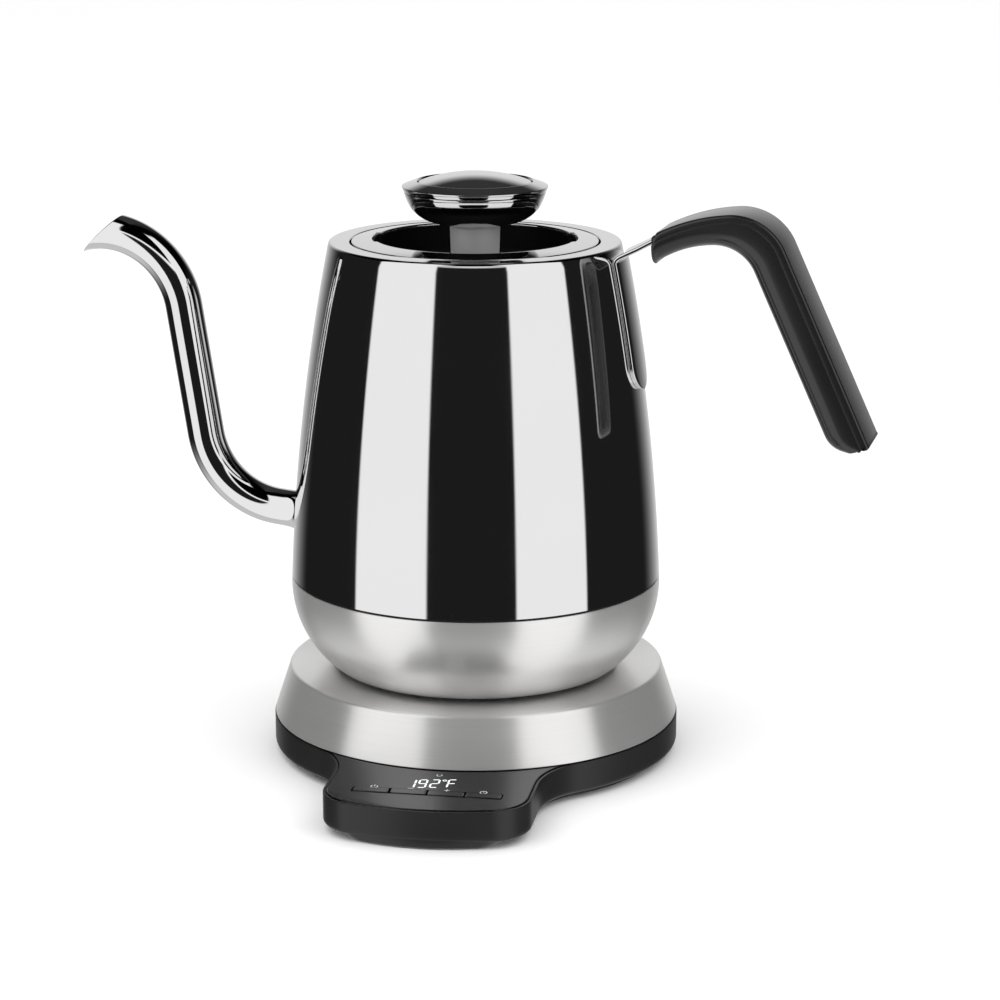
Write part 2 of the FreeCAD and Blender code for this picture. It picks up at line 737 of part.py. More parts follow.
# ---------------------------------------------------------------- base
def plan(inset=0.0, circle=BASE_R):
    """Plan outline of the round base with its control pod, as a face at z = 0."""
    r = circle - inset
    w = POD_HALF_W - inset
    neck = POD_NECK_R + inset
    neck_x = w + neck
    neck_y = -math.sqrt((r + neck) ** 2 - neck_x ** 2)
    join = V(neck_x, neck_y, 0) * (r / (r + neck))
    to_centre = (join - V(neck_x, neck_y, 0)).normalize()
    middle = V(neck_x, neck_y, 0) + (to_centre + V(-1, 0, 0)).normalize() * neck
    side = V(w, neck_y, 0)
    corner_start = V(w, POD_SIDE_Y, 0)
    corner_mid = V(POD_CORNER[0] - 0.75 * inset, POD_CORNER[1] + 0.66 * inset, 0)
    corner_end = V(POD_FRONT[0] - 0.2 * inset, POD_FRONT[1] + 0.98 * inset, 0)
    nose = V(0, POD_NOSE_Y + inset, 0)
    right = [arc(join, middle, side), line(side, corner_start),
             arc(corner_start, corner_mid, corner_end)]
    left = [mirrored(edge) for edge in right]
    front = arc(corner_end, nose, V(-corner_end.x, corner_end.y, 0))
    rear = arc(join, V(0, r, 0), V(-join.x, join.y, 0))
    return Part.Face(Part.Wire(Part.__sortEdges__(right + [front] + left + [rear])))


def mirrored(edge):
    return edge.mirror(V(0, 0, 0), V(1, 0, 0))


def plan_prism(inset, low, high):
    face = plan(inset)
    face.translate(V(0, 0, low))
    return face.extrude(V(0, 0, high - low))


def key_x(index):
    return (index - (KEY_COUNT - 1) / 2) * KEY_PITCH


def key_slot(low, high):
    half_x = (KEY_COUNT * KEY_PITCH - (KEY_PITCH - KEY_SIZE[0])) / 2 + 0.35
    half_y = KEY_SIZE[1] / 2 + 0.35
    return rounded_block(-half_x, half_x, KEY_Y - half_y, KEY_Y + half_y, low, high, 0.8)


def pod_top(inset, low, high):
    """Flat piece over the pod, reaching back under the skirt."""
    piece = plan_prism(inset, low, high).cut(post(0, 0, BASE_R - 4.4 - inset, low - 1, high + 1))
    return piece.common(block(-60, 60, -120, FASCIA_BACK_Y - inset, low - 1, high + 1))


def base_chassis():
    shell = plan_prism(0, CHASSIS_LOW_Z, CHASSIS_TOP_Z)
    low_edges = [e for e in shell.Edges if e.BoundBox.ZMax < CHASSIS_LOW_Z + 0.01]
    shell = shell.makeFillet(1.6, low_edges)
    hollow = plan_prism(CHASSIS_WALL, CHASSIS_LOW_Z - 1, 10.6)
    round_hollow = post(0, 0, CHASSIS_HOLLOW_R, CHASSIS_LOW_Z - 1, CHASSIS_TOP_Z + 1)
    recess = pod_top(1.0, DECK_Z, FASCIA_Z)
    shell = cut(shell, hollow, round_hollow, recess)
    for i in range(KEY_COUNT):
        shell = shell.cut(post(key_x(i), KEY_Y, STEM_R + 0.4, 9, 14))
    shell = shell.cut(block(-16, 16, -91, -76, 9, 14))
    bore = Part.makeCylinder(GLAND_R + 0.1, 20, V(0, 60, INLET_Z), V(0, 1, 0))
    shell = shell.cut(bore)
    return shell


def control_fascia():
    return pod_top(FASCIA_INSET, DECK_Z + FIT, FASCIA_Z).cut(key_slot(DECK_Z - 1, FASCIA_Z + 1))


def base_cover():
    hole_r = TOWER_R + 2.2
    under = BASE_TOP_Z - 1.0
    return lathe(
        SKIRT_LOW, SKIRT_HIGH, (67.0, 30.95, 66.2, 31.2), (60.0, BASE_TOP_Z),
        (hole_r, BASE_TOP_Z), (hole_r, under), (65.6, under), (66.3, 29.6),
        (SKIRT_LOW[0] - 1.15, SKIRT_LOW[1]),
    )


def floor_outline():
    """Plan of the floor plate: a disc with a narrower tongue under the pod."""
    low = FLOOR_PLATE_LOW_Z
    disc = post(0, 0, CHASSIS_HOLLOW_R, low, CHASSIS_LOW_Z)
    tongue = rounded_block(
        -TONGUE_HALF_W, TONGUE_HALF_W, POD_NOSE_Y + TONGUE_INSET, 0, low, CHASSIS_LOW_Z, 12)
    return disc.fuse(tongue.common(plan_prism(TONGUE_INSET, low, CHASSIS_LOW_Z))).removeSplitter()


def foot_spots():
    return around(57.0, 4, 45) + [(0.0, 0.0), (-16.0, -100.0), (16.0, -100.0)]


def plate_screw_spots():
    return around(61.0, 4, 22.5) + [(0.0, -101.0)]


def base_floor_plate():
    plug = plan_prism(CHASSIS_WALL + 0.15, CHASSIS_LOW_Z, PLATE_TOP_Z)
    plate = fuse([floor_outline(), plug])
    for x, y in foot_spots():
        plate = plate.cut(post(x, y, 6.6, 0, 1.6))
    for x, y in plate_screw_spots():
        plate = cut(plate, post(x, y, 1.7, 0, 5), post(x, y, 3.3, 0, 1.8))
    return plate


def base_feet():
    feet = []
    for x, y in foot_spots():
        foot = post(x, y, 6.5, 0, 1.55)
        low = [e for e in foot.Edges if e.BoundBox.ZMax < 0.01]
        feet.append(foot.makeFillet(0.5, low))
    return group(feet)


def floor_plate_screws():
    screws = []
    for x, y in plate_screw_spots():
        head = post(x, y, 3.0, 1.0, 1.8)
        shank = post(x, y, 1.3, 1.8, 8.5)
        slot = block(x - 2.2, x + 2.2, y - 0.35, y + 0.35, 0.9, 1.4)
        screws.append(head.fuse(shank).removeSplitter().cut(slot))
    return group(screws)


def screw_bosses():
    """Threaded bosses that stand on the floor plate."""
    boss = ring(1.35, 2.8, PLATE_TOP_Z + FIT, 10.0)
    return group([boss.translated(V(x, y, 0)) for x, y in plate_screw_spots()])


def key(index):
    x = key_x(index)
    half_x = KEY_SIZE[0] / 2
    half_y = KEY_SIZE[1] / 2
    cap = block(x - half_x, x + half_x, KEY_Y - half_y, KEY_Y + half_y, KEY_LOW_Z, KEY_TOP_Z)
    front = [e for e in cap.Edges if e.BoundBox.ZMin > KEY_TOP_Z - 0.01]
    cap = cap.makeChamfer(0.45, front)
    return fuse([cap, post(x, KEY_Y, STEM_R, STEM_LOW_Z, KEY_LOW_Z)])


def tact_switches():
    switches = []
    low = BOARD_Z[1] + FIT
    case_top = 8.4
    for i in range(KEY_COUNT):
        x = key_x(i)
        case = block(x - 3, x + 3, KEY_Y - 3, KEY_Y + 3, low, case_top)
        button = post(x, KEY_Y, 1.7, case_top, case_top + 0.6)
        switches.append(case.fuse(button).removeSplitter())
    return group(switches)


def control_board():
    board = rounded_block(-30, 30, -104, -68, *BOARD_Z, 2)
    return board.cut(post(0, -101, 3.2, 4, 8))


def display_module():
    return rounded_block(-15.5, 15.5, -90.5, -76.5, BOARD_Z[1] + FIT, DECK_Z - 0.1, 0.8)


def power_board():
    disc = ring(0, POWER_BOARD_R, *POWER_BOARD_Z)
    keep = block(-POWER_BOARD_R, POWER_BOARD_R, -8, POWER_BOARD_R, 5, 9)
    board = disc.common(keep)
    return board.cut(post(0, 0, 17.5, 4, 10))


def transformer():
    winding_z = (10.0, 24.0)
    core = block(-46, -24, 16, 36, ON_POWER_BOARD, winding_z[0])
    winding = rounded_block(-43, -27, 13, 39, *winding_z, 2)
    yoke = block(-46, -24, 18, 34, winding_z[1], 26.5)
    return fuse([core, winding, yoke])


def power_relay():
    return rounded_block(22, 41, 18, 34, ON_POWER_BOARD, 23.0, 1)


def buzzer():
    top = 15.0
    case = post(-40, 4, 6.0, ON_POWER_BOARD, top)
    return case.cut(post(-40, 4, 1.0, top - 3, top + 1))


def terminal_block():
    top = 16.0
    body = block(-12, 12, 40, 50, ON_POWER_BOARD, top)
    for x in (-8, 0, 8):
        body = body.cut(post(x, 45, 2.0, top - 4, top + 1))
    return body


def cord_gland():
    """Grommet in the rear wall that the mains cord passes through."""
    inner = BASE_R - CHASSIS_WALL - 1.6
    flange_t = 1.4
    back = V(0, 1, 0)
    barrel = Part.makeCylinder(GLAND_R, BASE_R + flange_t - inner, V(0, inner, INLET_Z), back)
    rim = Part.makeCylinder(GLAND_R + 0.7, flange_t, V(0, BASE_R + FIT, INLET_Z), back)
    bore = Part.makeCylinder(INLET_R, 20, V(0, 60, INLET_Z), V(0, 1, 0))
    return fuse([barrel, rim]).cut(bore)


def cord_clamp():
    wide = CLAMP_HALF_W
    gap = CLAMP_GAP_HALF_W
    low, high = CLAMP_GAP_Z
    base = block(-wide, wide, *CLAMP_Y, PLATE_TOP_Z + FIT, low)
    bridge = block(-wide, wide, *CLAMP_Y, high, CLAMP_TOP_Z)
    legs = [block(-wide, -gap, *CLAMP_Y, low, high), block(gap, wide, *CLAMP_Y, low, high)]
    clamp = fuse([base, bridge] + legs)
    for x, y in clamp_screw_spots():
        clamp = clamp.cut(post(x, y, 1.35, 4, CLAMP_TOP_Z + 1))
    return clamp


def clamp_screw_spots():
    middle = sum(CLAMP_Y) / 2
    return [(-CLAMP_SCREW_X, middle), (CLAMP_SCREW_X, middle)]


def cord_clamp_screws():
    screws = []
    under = CLAMP_TOP_Z + FIT
    for x, y in clamp_screw_spots():
        screws.append(fuse([post(x, y, 1.3, 5.0, under), post(x, y, 2.4, under, 13.0)]))
    return group(screws)


# ---------------------------------------------------------------- assembly
def kettle_nodes():
    return {
        "body_shell": body_shell(),
        "mouth_collar": mouth_collar(),
        "seam_ring": seam_ring(),
        "lower_band": lower_band(),
        "vessel_floor": vessel_floor(),
        "heat_spreader": heat_spreader(),
        "heating_element": heating_element(),
        "thermostat": thermostat(),
        "temperature_probe": temperature_probe(),
        "bottom_cover": bottom_cover(),
        "cover_posts": cover_posts(),
        "bottom_cover_screws": bottom_cover_screws(),
        "gooseneck_spout": gooseneck_spout(),
        "spout_strainer": spout_strainer(),
        "handle_strap": handle_strap(),
        "grip_back": grip_back(),
        "grip_front": grip_front(),
        "lid_flange": lid_flange(),
        "lid_well": lid_well(),
        "lid_plate": lid_plate(),
        "lid_skirt": lid_skirt(),
        "lid_gasket": lid_gasket(),
        "knob_post": knob_post(),
        "knob_bowl": knob_bowl(),
        "knob_rim": knob_rim(),
        "knob_cap": knob_cap(),
        "knob_core": knob_core(),
        "knob_screw": knob_screw(),
    }


def base_nodes():
    nodes = {
        "kettle_socket": kettle_socket(),
        "socket_pin": socket_pin(),
        "connector_tower": connector_tower(),
        "tower_contacts": tower_contacts(),
        "base_chassis": base_chassis(),
        "base_cover": base_cover(),
        "control_fascia": control_fascia(),
        "base_floor_plate": base_floor_plate(),
        "base_feet": base_feet(),
        "floor_plate_screws": floor_plate_screws(),
        "screw_bosses": screw_bosses(),
        "tact_switches": tact_switches(),
        "control_board": control_board(),
        "display_module": display_module(),
        "power_board": power_board(),
        "transformer": transformer(),
        "power_relay": power_relay(),
        "buzzer": buzzer(),
        "terminal_block": terminal_block(),
        "cord_gland": cord_gland(),
        "cord_clamp": cord_clamp(),
        "cord_clamp_screws": cord_clamp_screws(),
    }
    for index, name in enumerate(KEY_NAMES):
        nodes[name] = key(index)
    return nodes


def save(name, shape):
    shape.exportStep(os.path.join("parts", name + ".step"))


def main():
    os.makedirs("parts", exist_ok=True)
    for name, shape in base_nodes().items():
        save(name, shape)
    for name, shape in kettle_nodes().items():
        save(name, shape.rotated(V(0, 0, 0), UP, KETTLE_TURN))


main()
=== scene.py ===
"""Looks of an electric gooseneck kettle on its heating base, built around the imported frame.

Everything is in metres in the row frame: +Z up, the control pod towards -Y. The kettle and its
lid stand turned a few degrees on the base, so their pieces are worked out in the kettle's own
frame, spout towards -X and handle towards +X, and turned at the end.
"""
import json
import logging
import math
from dataclasses import dataclass, field
from enum import Enum
from functools import lru_cache
from typing import Callable

import bmesh
import bpy
import numpy as np
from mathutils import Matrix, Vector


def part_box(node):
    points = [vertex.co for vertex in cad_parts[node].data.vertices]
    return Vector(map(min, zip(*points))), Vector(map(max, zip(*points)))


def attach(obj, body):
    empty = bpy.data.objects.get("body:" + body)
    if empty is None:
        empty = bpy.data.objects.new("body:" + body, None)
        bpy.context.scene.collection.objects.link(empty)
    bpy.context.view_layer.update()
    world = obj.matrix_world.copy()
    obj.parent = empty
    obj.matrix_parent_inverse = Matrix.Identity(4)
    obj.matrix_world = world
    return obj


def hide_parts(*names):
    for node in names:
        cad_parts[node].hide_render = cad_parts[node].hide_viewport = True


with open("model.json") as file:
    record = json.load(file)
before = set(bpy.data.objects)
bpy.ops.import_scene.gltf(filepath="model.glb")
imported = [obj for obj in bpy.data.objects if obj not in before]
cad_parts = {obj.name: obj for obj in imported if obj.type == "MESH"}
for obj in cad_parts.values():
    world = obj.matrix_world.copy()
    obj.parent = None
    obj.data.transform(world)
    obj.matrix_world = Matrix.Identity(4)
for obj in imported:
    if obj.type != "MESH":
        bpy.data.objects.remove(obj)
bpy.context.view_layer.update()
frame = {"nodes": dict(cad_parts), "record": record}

log = logging.getLogger("kettle")
Array = np.ndarray
Pair = tuple[float, float]
Moves = tuple[tuple[float, float | None], ...]
Socket = bpy.types.NodeSocket
Thing = bpy.types.Object

MM = 0.001
ROUND = 192              # facets of a small turned piece
FINE_ROUND = 256         # facets of a large one
NOTCHED_ROUND = 360      # facets where the lid's notches are cut
KETTLE_TURN = math.radians(-5.5)
SHARP = math.radians(32)


# ---------------------------------------------------------------- curves
def low(node: str) -> float:
    """Height of a frame node's underside."""
    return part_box(node)[0][2]


def high(node: str) -> float:
    """Height of a frame node's top."""
    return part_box(node)[1][2]


def line(*points: Pair) -> Array:
    """Corner points joined by straight runs.

    Args:
        points: pairs of coordinates, in order.

    Returns:
        Array (n, 2).
    """
    return np.array(points, float)


def circle_through(a: Array, b: Array, c: Array) -> tuple[Array, float]:
    """Circle through three points; its centre is where the bisectors of the two chords meet.

    Args:
        a, b, c: the points.

    Returns:
        Centre and radius.
    """
    rows = 2 * np.array([b - a, c - b])
    centre = np.linalg.solve(rows, np.array([b @ b - a @ a, c @ c - b @ b]))
    return centre, float(np.linalg.norm(a - centre))


def arc(start: Pair, middle: Pair, end: Pair, count: int = 12) -> Array:
    """Points at equal angles on the circle through three points, from start by middle to end.

    Args:
        start, middle, end: points on the arc.
        count: number of points.

    Returns:
        Array (count, 2).
    """
    a, b, c = (np.array(p, float) for p in (start, middle, end))
    centre, radius = circle_through(a, b, c)
    first, half, last = (math.atan2(*(p - centre)[::-1]) for p in (a, b, c))
    half = (half - first + math.pi) % (2 * math.pi) - math.pi
    last = (last - first) % (2 * math.pi)
    if half < 0:
        last -= 2 * math.pi
    angles = first + np.linspace(0.0, last, count)
    return centre + radius * np.stack([np.cos(angles), np.sin(angles)], -1)


def soften(path: Array, radius: float, steps: int = 4, closed: bool = True) -> Array:
    """Round the corners of a path and put a support point on each side of them.

    A corner P between two unit directions is replaced by the parabola
    (1-t)^2 A + 2t(1-t) P + t^2 B, where A and B lie the radius away from P, or at most 0.3 of
    the run. Points where the path turns by under 20 degrees stay as they are.

    Args:
        path: array (n, 2).
        radius: distance from the corner to where the rounding starts.
        steps: facets across a corner.
        closed: whether the last point joins the first.

    Returns:
        Array (m, 2).
    """
    before, after = np.roll(path, 1, 0) - path, np.roll(path, -1, 0) - path
    run_a = np.maximum(np.linalg.norm(before, axis=1), 1e-12)[:, None]
    run_b = np.maximum(np.linalg.norm(after, axis=1), 1e-12)[:, None]
    before, after = before / run_a, after / run_b
    corner = (before * after).sum(1) > -math.cos(math.radians(20))
    if not closed:
        corner[[0, -1]] = False
    reach_a = np.where(corner[:, None], np.minimum(radius, 0.3 * run_a), 0.0)
    reach_b = np.where(corner[:, None], np.minimum(radius, 0.3 * run_b), 0.0)
    a, b = path + before * reach_a, path + after * reach_b
    t = np.linspace(0.0, 1.0, steps + 1)[None, :, None]
    bend = (1 - t) ** 2 * a[:, None] + 2 * t * (1 - t) * path[:, None] + t ** 2 * b[:, None]
    support_a = (path + before * reach_a * 1.5)[:, None]
    support_b = (path + after * reach_b * 1.5)[:, None]
    points = np.concatenate([support_a, bend, support_b], 1).reshape(-1, 2)
    gap = np.linalg.norm(points - np.roll(points, 1, 0), axis=1)
    keep = gap > 1e-7
    keep[0] = True
    return points[keep]


@dataclass(frozen=True)
class Track:
    """A path of straight runs and arcs in the upright XZ plane.

    A move is (radius, turn in degrees) for an arc, or (length, None) for a run.
    """
    start: Pair
    heading: float
    moves: Moves

    def lengths(self) -> list[float]:
        """Length of each move."""
        return [size if turn is None else size * abs(math.radians(turn)) for size, turn in self.moves]

    def length(self) -> float:
        """Length of the whole path."""
        return sum(self.lengths())

    def at(self, s: Array) -> tuple[Array, Array]:
        """Places and left-hand normals along the path.

        Each move adds its own displacement: a run adds its direction times the distance gone,
        and an arc adds the radius times the difference of its first and present normals.

        Args:
            s: distances along the path, any shape.

        Returns:
            Places and normals, each with a last axis of 2.
        """
        place = np.zeros(np.shape(s) + (2,)) + np.array(self.start)
        angle = np.full(np.shape(s), math.radians(self.heading))
        begun, first = 0.0, math.radians(self.heading)
        for (size, turn), length in zip(self.moves, self.lengths()):
            last_move = begun + length >= self.length() - 1e-9
            gone = np.clip(s - begun, 0.0, None if last_move else length)
            if turn is None:
                place = place + gone[..., None] * np.array([math.cos(first), math.sin(first)])
            else:
                sign = math.copysign(1.0, turn)
                swing = sign * gone / size
                old = np.array([-math.sin(first), math.cos(first)])
                new = np.stack([-np.sin(first + swing), np.cos(first + swing)], -1)
                place = place + sign * size * (old - new)
                angle = angle + swing
                first += math.radians(turn)
            begun += length
        return place, np.stack([-np.sin(angle), np.cos(angle)], -1)


def bisect(crossing: Callable[[Array], Array], start: Array, end: Array) -> Array:
    """Where a function of the path distance changes sign, by halving the interval 36 times.

    Args:
        crossing: negative before the crossing and positive after it.
        start, end: arrays of distances before and after the crossing.

    Returns:
        Array of distances; the end itself where nothing is crossed.
    """
    for _ in range(36):
        middle = (start + end) / 2
        past = crossing(middle) > 0
        start, end = np.where(past, start, middle), np.where(past, middle, end)
    return (start + end) / 2


# ---------------------------------------------------------------- surfaces
@dataclass
class Patch:
    """A grid of points, (rows, columns, 3), that becomes quads. A wrapped axis closes on itself."""
    points: Array
    wrap_rows: bool = False
    wrap_columns: bool = True
    lids: bool = False

    def faces(self, offset: int) -> list[list[int]]:
        """Quads between neighbouring rows and columns, and a flat lid on the end rows if asked.

        Args:
            offset: index of the grid's first vertex in the mesh.

        Returns:
            Lists of vertex indices.
        """
        rows, columns = self.points.shape[:2]
        r = np.arange(rows if self.wrap_rows else rows - 1)
        c = np.arange(columns if self.wrap_columns else columns - 1)
        r, c = np.meshgrid(r, c, indexing="ij")
        r_next, c_next = (r + 1) % rows, (c + 1) % columns
        corners = [r * columns + c, r * columns + c_next, r_next * columns + c_next, r_next * columns + c]
        quads = (np.stack(corners, -1).reshape(-1, 4) + offset).tolist()
        if self.lids:
            first = np.arange(columns) + offset
            quads += [first[::-1].tolist(), (first + (rows - 1) * columns).tolist()]
        return quads


def turned(points: Array, angle: float = KETTLE_TURN) -> Array:
    """Points turned about the upright axis, by default from the kettle's frame to the row frame."""
    c, s = math.cos(angle), math.sin(angle)
    return points @ np.array([[c, s, 0.0], [-s, c, 0.0], [0.0, 0.0, 1.0]])


def lathe(profile: Array, closed: bool = True, count: int = ROUND, on_kettle: bool = False) -> Patch:
    """Surface of revolution: (r, z) goes to (r cos a, r sin a, z) for a round the full circle.

    Args:
        profile: array (n, 2) of radius and height.
        closed: whether the profile is a loop; if not, its ends lie on the axis.
        count: points round the axis.
        on_kettle: whether it is turned with the kettle.

    Returns:
        The grid.
    """
    a = np.arange(count) * (2 * math.pi / count)
    r, z = profile[:, :1], profile[:, 1:]
    grid = np.stack([r * np.cos(a), r * np.sin(a), z + 0 * a], -1)
    return Patch(turned(grid) if on_kettle else grid, wrap_rows=closed)


def stacked(loops: Array, heights: Array, lids: bool = True) -> Patch:
    """Flat closed loops set at their heights.

    Args:
        loops: array (levels, n, 2).
        heights: array (levels,).
        lids: whether flat faces close the first and last loop.

    Returns:
        The grid.
    """
    z = np.broadcast_to(np.asarray(heights)[:, None, None], loops.shape[:2] + (1,))
    return Patch(np.concatenate([loops, z], -1), lids=lids, wrap_rows=not lids)


def prism(loop: Array, bottom: float, top: float) -> Patch:
    """Upright prism over one loop."""
    return stacked(np.stack([loop, loop]), np.array([bottom, top]))


def bevelled(bottom: float, top: float, size: float, support: float, flat: float) -> tuple[Array, Array]:
    """Levels of a plate whose top edge is a quarter round.

    At angle a the inset is size (1 - cos a) and the height is top - size (1 - sin a).

    Args:
        bottom, top: the plate's heights.
        size: radius of the round.
        support: how many sizes below the top an extra level lies.
        flat: how many sizes inside the edge the last level lies.

    Returns:
        Insets and heights of the levels, from the bottom up.
    """
    a = np.linspace(0, math.pi / 2, 6)
    insets = np.concatenate([[0.0, 0.0], size * (1 - np.cos(a)), [size * flat]])
    heights = np.concatenate([[bottom, top - size * support], top - size * (1 - np.sin(a)), [top]])
    return insets, heights


def rounded_box_loop(half_x: float, half_y: float, radius: float, steps: int = 6) -> Array:
    """Loop of a rectangle with round corners: each corner's centre plus the radius at angle a.

    Args:
        half_x, half_y: half sizes.
        radius: corner radius.
        steps: facets in a corner.

    Returns:
        Array (4 * (steps + 1), 2), anticlockwise.
    """
    a = np.arange(4)[:, None] * (math.pi / 2) + np.linspace(0, math.pi / 2, steps + 1)
    sign = np.array([[1, 1], [-1, 1], [-1, -1], [1, -1]])[:, None]
    centre = sign * (np.array([half_x, half_y]) - radius)
    return (centre + radius * np.stack([np.cos(a), np.sin(a)], -1)).reshape(-1, 2)


def build(name: str, *patches: Patch) -> Thing:
    """Make one mesh object from grids, with doubles merged and faces turned outward.

    Args:
        name: name of the piece.
        patches: its grids.

    Returns:
        The object, at the origin.
    """
    vertices = np.concatenate([patch.points.reshape(-1, 3) for patch in patches])
    faces: list[list[int]] = []
    offset = 0
    for patch in patches:
        faces += patch.faces(offset)
        offset += patch.points.shape[0] * patch.points.shape[1]
    mesh = bpy.data.meshes.new(name)
    mesh.from_pydata(vertices.tolist(), [], faces)
    return finish_mesh(name, mesh)


def finish_mesh(name: str, mesh: bpy.types.Mesh, recalculate: bool = True) -> Thing:
    """Merge doubles, turn faces outward, shade smooth up to the sharp angle and link an object.

    Args:
        name: name of the piece.
        mesh: its mesh.
        recalculate: whether the faces are turned outward again.

    Returns:
        The object, at the origin.
    """
    work = bmesh.new()
    work.from_mesh(mesh)
    bmesh.ops.remove_doubles(work, verts=work.verts, dist=2e-7)
    bmesh.ops.dissolve_degenerate(work, edges=work.edges, dist=1e-8)
    if recalculate:
        bmesh.ops.recalc_face_normals(work, faces=work.faces)
    work.to_mesh(mesh)
    work.free()
    mesh.polygons.foreach_set("use_smooth", np.ones(len(mesh.polygons), bool))
    mesh.set_sharp_from_angle(angle=SHARP)
    piece = bpy.data.objects.new(name, mesh)
    bpy.context.scene.collection.objects.link(piece)
    return piece


# ---------------------------------------------------------------- finishes
COAT_ROUGHNESS = 0.12
ACROSS_THE_LINES = 0.25  # quarter turn: a brushed highlight spreads across the lines
BROAD_NOISE = 22.0       # noises, per metre
POLISH_WAVES = 14.0
ALONG_LINES = 9.0


class Grain(Enum):
    """How a finish's fine texture runs."""
    POLISHED = "faint long waves"
    TURNED = "fine lines round the upright axis"
    MOULDED = "fine pebbled grain"
    PLAIN = "soft unevenness"


@dataclass(frozen=True)
class Finish:
    """A procedural finish on Object coordinates.

    The colour and the roughness vary a little with a broad noise, and the grain makes a fine
    bump: lines whose height depends on radius plus height for a turned grain, a fine noise for a
    moulded one, and a broad low one for a polished one.
    """
    name: str
    colour: tuple[float, float, float]
    roughness: float
    metallic: float = 0.0
    grain: Grain = Grain.PLAIN
    grain_size: float = 1.0 * MM
    bump: float = 0.01 * MM
    roughness_spread: float = 0.03
    colour_spread: float = 0.06
    coat: float = 0.0
    anisotropy: float = 0.0
    specular: float = 0.5
    glow: float = 0.0

    def material(self) -> bpy.types.Material:
        """The finish's material, made once."""
        return make_material(self)


class NodeGraph:
    """A small builder for one material's nodes."""

    def __init__(self, name: str) -> None:
        """Start a material with a single Principled shader.

        Args:
            name: the material's name.
        """
        self.material = bpy.data.materials.new(name)
        self.material.use_nodes = True
        self.tree = self.material.node_tree
        self.shader = self.tree.nodes["Principled BSDF"]

    def add(self, kind: str, inputs: dict | None = None, **settings) -> bpy.types.Node:
        """Add a node.

        Args:
            kind: node type.
            inputs: values or output sockets by input name or index.
            settings: properties of the node.

        Returns:
            The node.
        """
        node = self.tree.nodes.new(kind)
        for key, value in settings.items():
            setattr(node, key, value)
        for key, value in (inputs or {}).items():
            if isinstance(value, Socket):
                self.tree.links.new(value, node.inputs[key])
            else:
                node.inputs[key].default_value = value
        return node

    def maths(self, operation: str, *values) -> Socket:
        """Output of a Math node on one to three values or sockets."""
        return self.add("ShaderNodeMath", dict(enumerate(values)), operation=operation).outputs[0]

    def object_point(self) -> Socket:
        """Object coordinates."""
        return self.add("ShaderNodeTexCoord").outputs["Object"]

    def noise(self, point: Socket, per_metre: float, detail: float = 3.0,
              ) -> Socket:
        """Height of a noise of the given frequency."""
        node = self.add("ShaderNodeTexNoise", {"Vector": point, "Scale": per_metre, "Detail": detail})
        return node.outputs["Fac"]

    def spread(self, value: Socket, low_end: float, high_end: float,
               ) -> Socket:
        """Map the middle of a noise's range onto two ends."""
        ends = {"Value": value, "From Min": 0.3, "From Max": 0.7, "To Min": low_end, "To Max": high_end}
        return self.add("ShaderNodeMapRange", ends).outputs["Result"]

    def turned_point(self, per_metre: float, along: float) -> Socket:
        """A point that hardly changes round the axis and changes fast with radius plus height.

        Args:
            per_metre: frequency across the lines.
            along: frequency along them.

        Returns:
            Vector socket for a noise of scale 1.
        """
        split = self.add("ShaderNodeSeparateXYZ", {0: self.object_point()})
        x, y, z = split.outputs
        square = self.maths("ADD", self.maths("MULTIPLY", x, x), self.maths("MULTIPLY", y, y))
        across = self.maths("MULTIPLY", self.maths("ADD", self.maths("SQRT", square), z), per_metre)
        joined = {0: self.maths("MULTIPLY", x, along), 1: self.maths("MULTIPLY", y, along), 2: across}
        return self.add("ShaderNodeCombineXYZ", joined).outputs[0]


@lru_cache(maxsize=None)
def make_material(finish: Finish) -> bpy.types.Material:
    """Build a finish's nodes.

    Args:
        finish: what to build.

    Returns:
        The material.
    """
    graph = NodeGraph(finish.name)
    point = graph.object_point()
    shader = graph.shader
    for name, value in (("Metallic", finish.metallic), ("Coat Weight", finish.coat),
                        ("Coat Roughness", COAT_ROUGHNESS), ("Anisotropic", finish.anisotropy),
                        ("Anisotropic Rotation", ACROSS_THE_LINES),
                        ("Specular IOR Level", finish.specular)):
        shader.inputs[name].default_value = value
    broad = graph.noise(point, BROAD_NOISE)
    if finish.grain is Grain.TURNED:
        lines = graph.noise(graph.turned_point(1.0 / finish.grain_size, ALONG_LINES), 1.0, 4.0)
        uneven, height = lines, lines
    elif finish.grain is Grain.POLISHED:
        uneven, height = broad, graph.noise(point, POLISH_WAVES, 1.0)
    else:
        fine = graph.noise(point, 1.0 / finish.grain_size, 2.0)
        uneven, height = broad, fine
    dark = tuple(c * (1 - finish.colour_spread) for c in finish.colour) + (1.0,)
    pale = tuple(min(1.0, c * (1 + finish.colour_spread)) for c in finish.colour) + (1.0,)
    mix = colour_mix(graph, graph.spread(uneven, 0.0, 1.0), dark, pale)
    graph.tree.links.new(mix, shader.inputs["Base Color"])
    rough = graph.spread(uneven, finish.roughness - finish.roughness_spread,
                         finish.roughness + finish.roughness_spread)
    graph.tree.links.new(rough, shader.inputs["Roughness"])
    bump = graph.add("ShaderNodeBump", {"Strength": 1.0, "Distance": finish.bump, "Height": height})
    graph.tree.links.new(bump.outputs["Normal"], shader.inputs["Normal"])
    if finish.anisotropy:
        tangent = graph.add("ShaderNodeTangent", direction_type="RADIAL", axis="Z")
        graph.tree.links.new(tangent.outputs["Tangent"], shader.inputs["Tangent"])
    if finish.glow:
        shader.inputs["Emission Color"].default_value = finish.colour + (1.0,)
        shader.inputs["Emission Strength"].default_value = finish.glow
    return graph.material


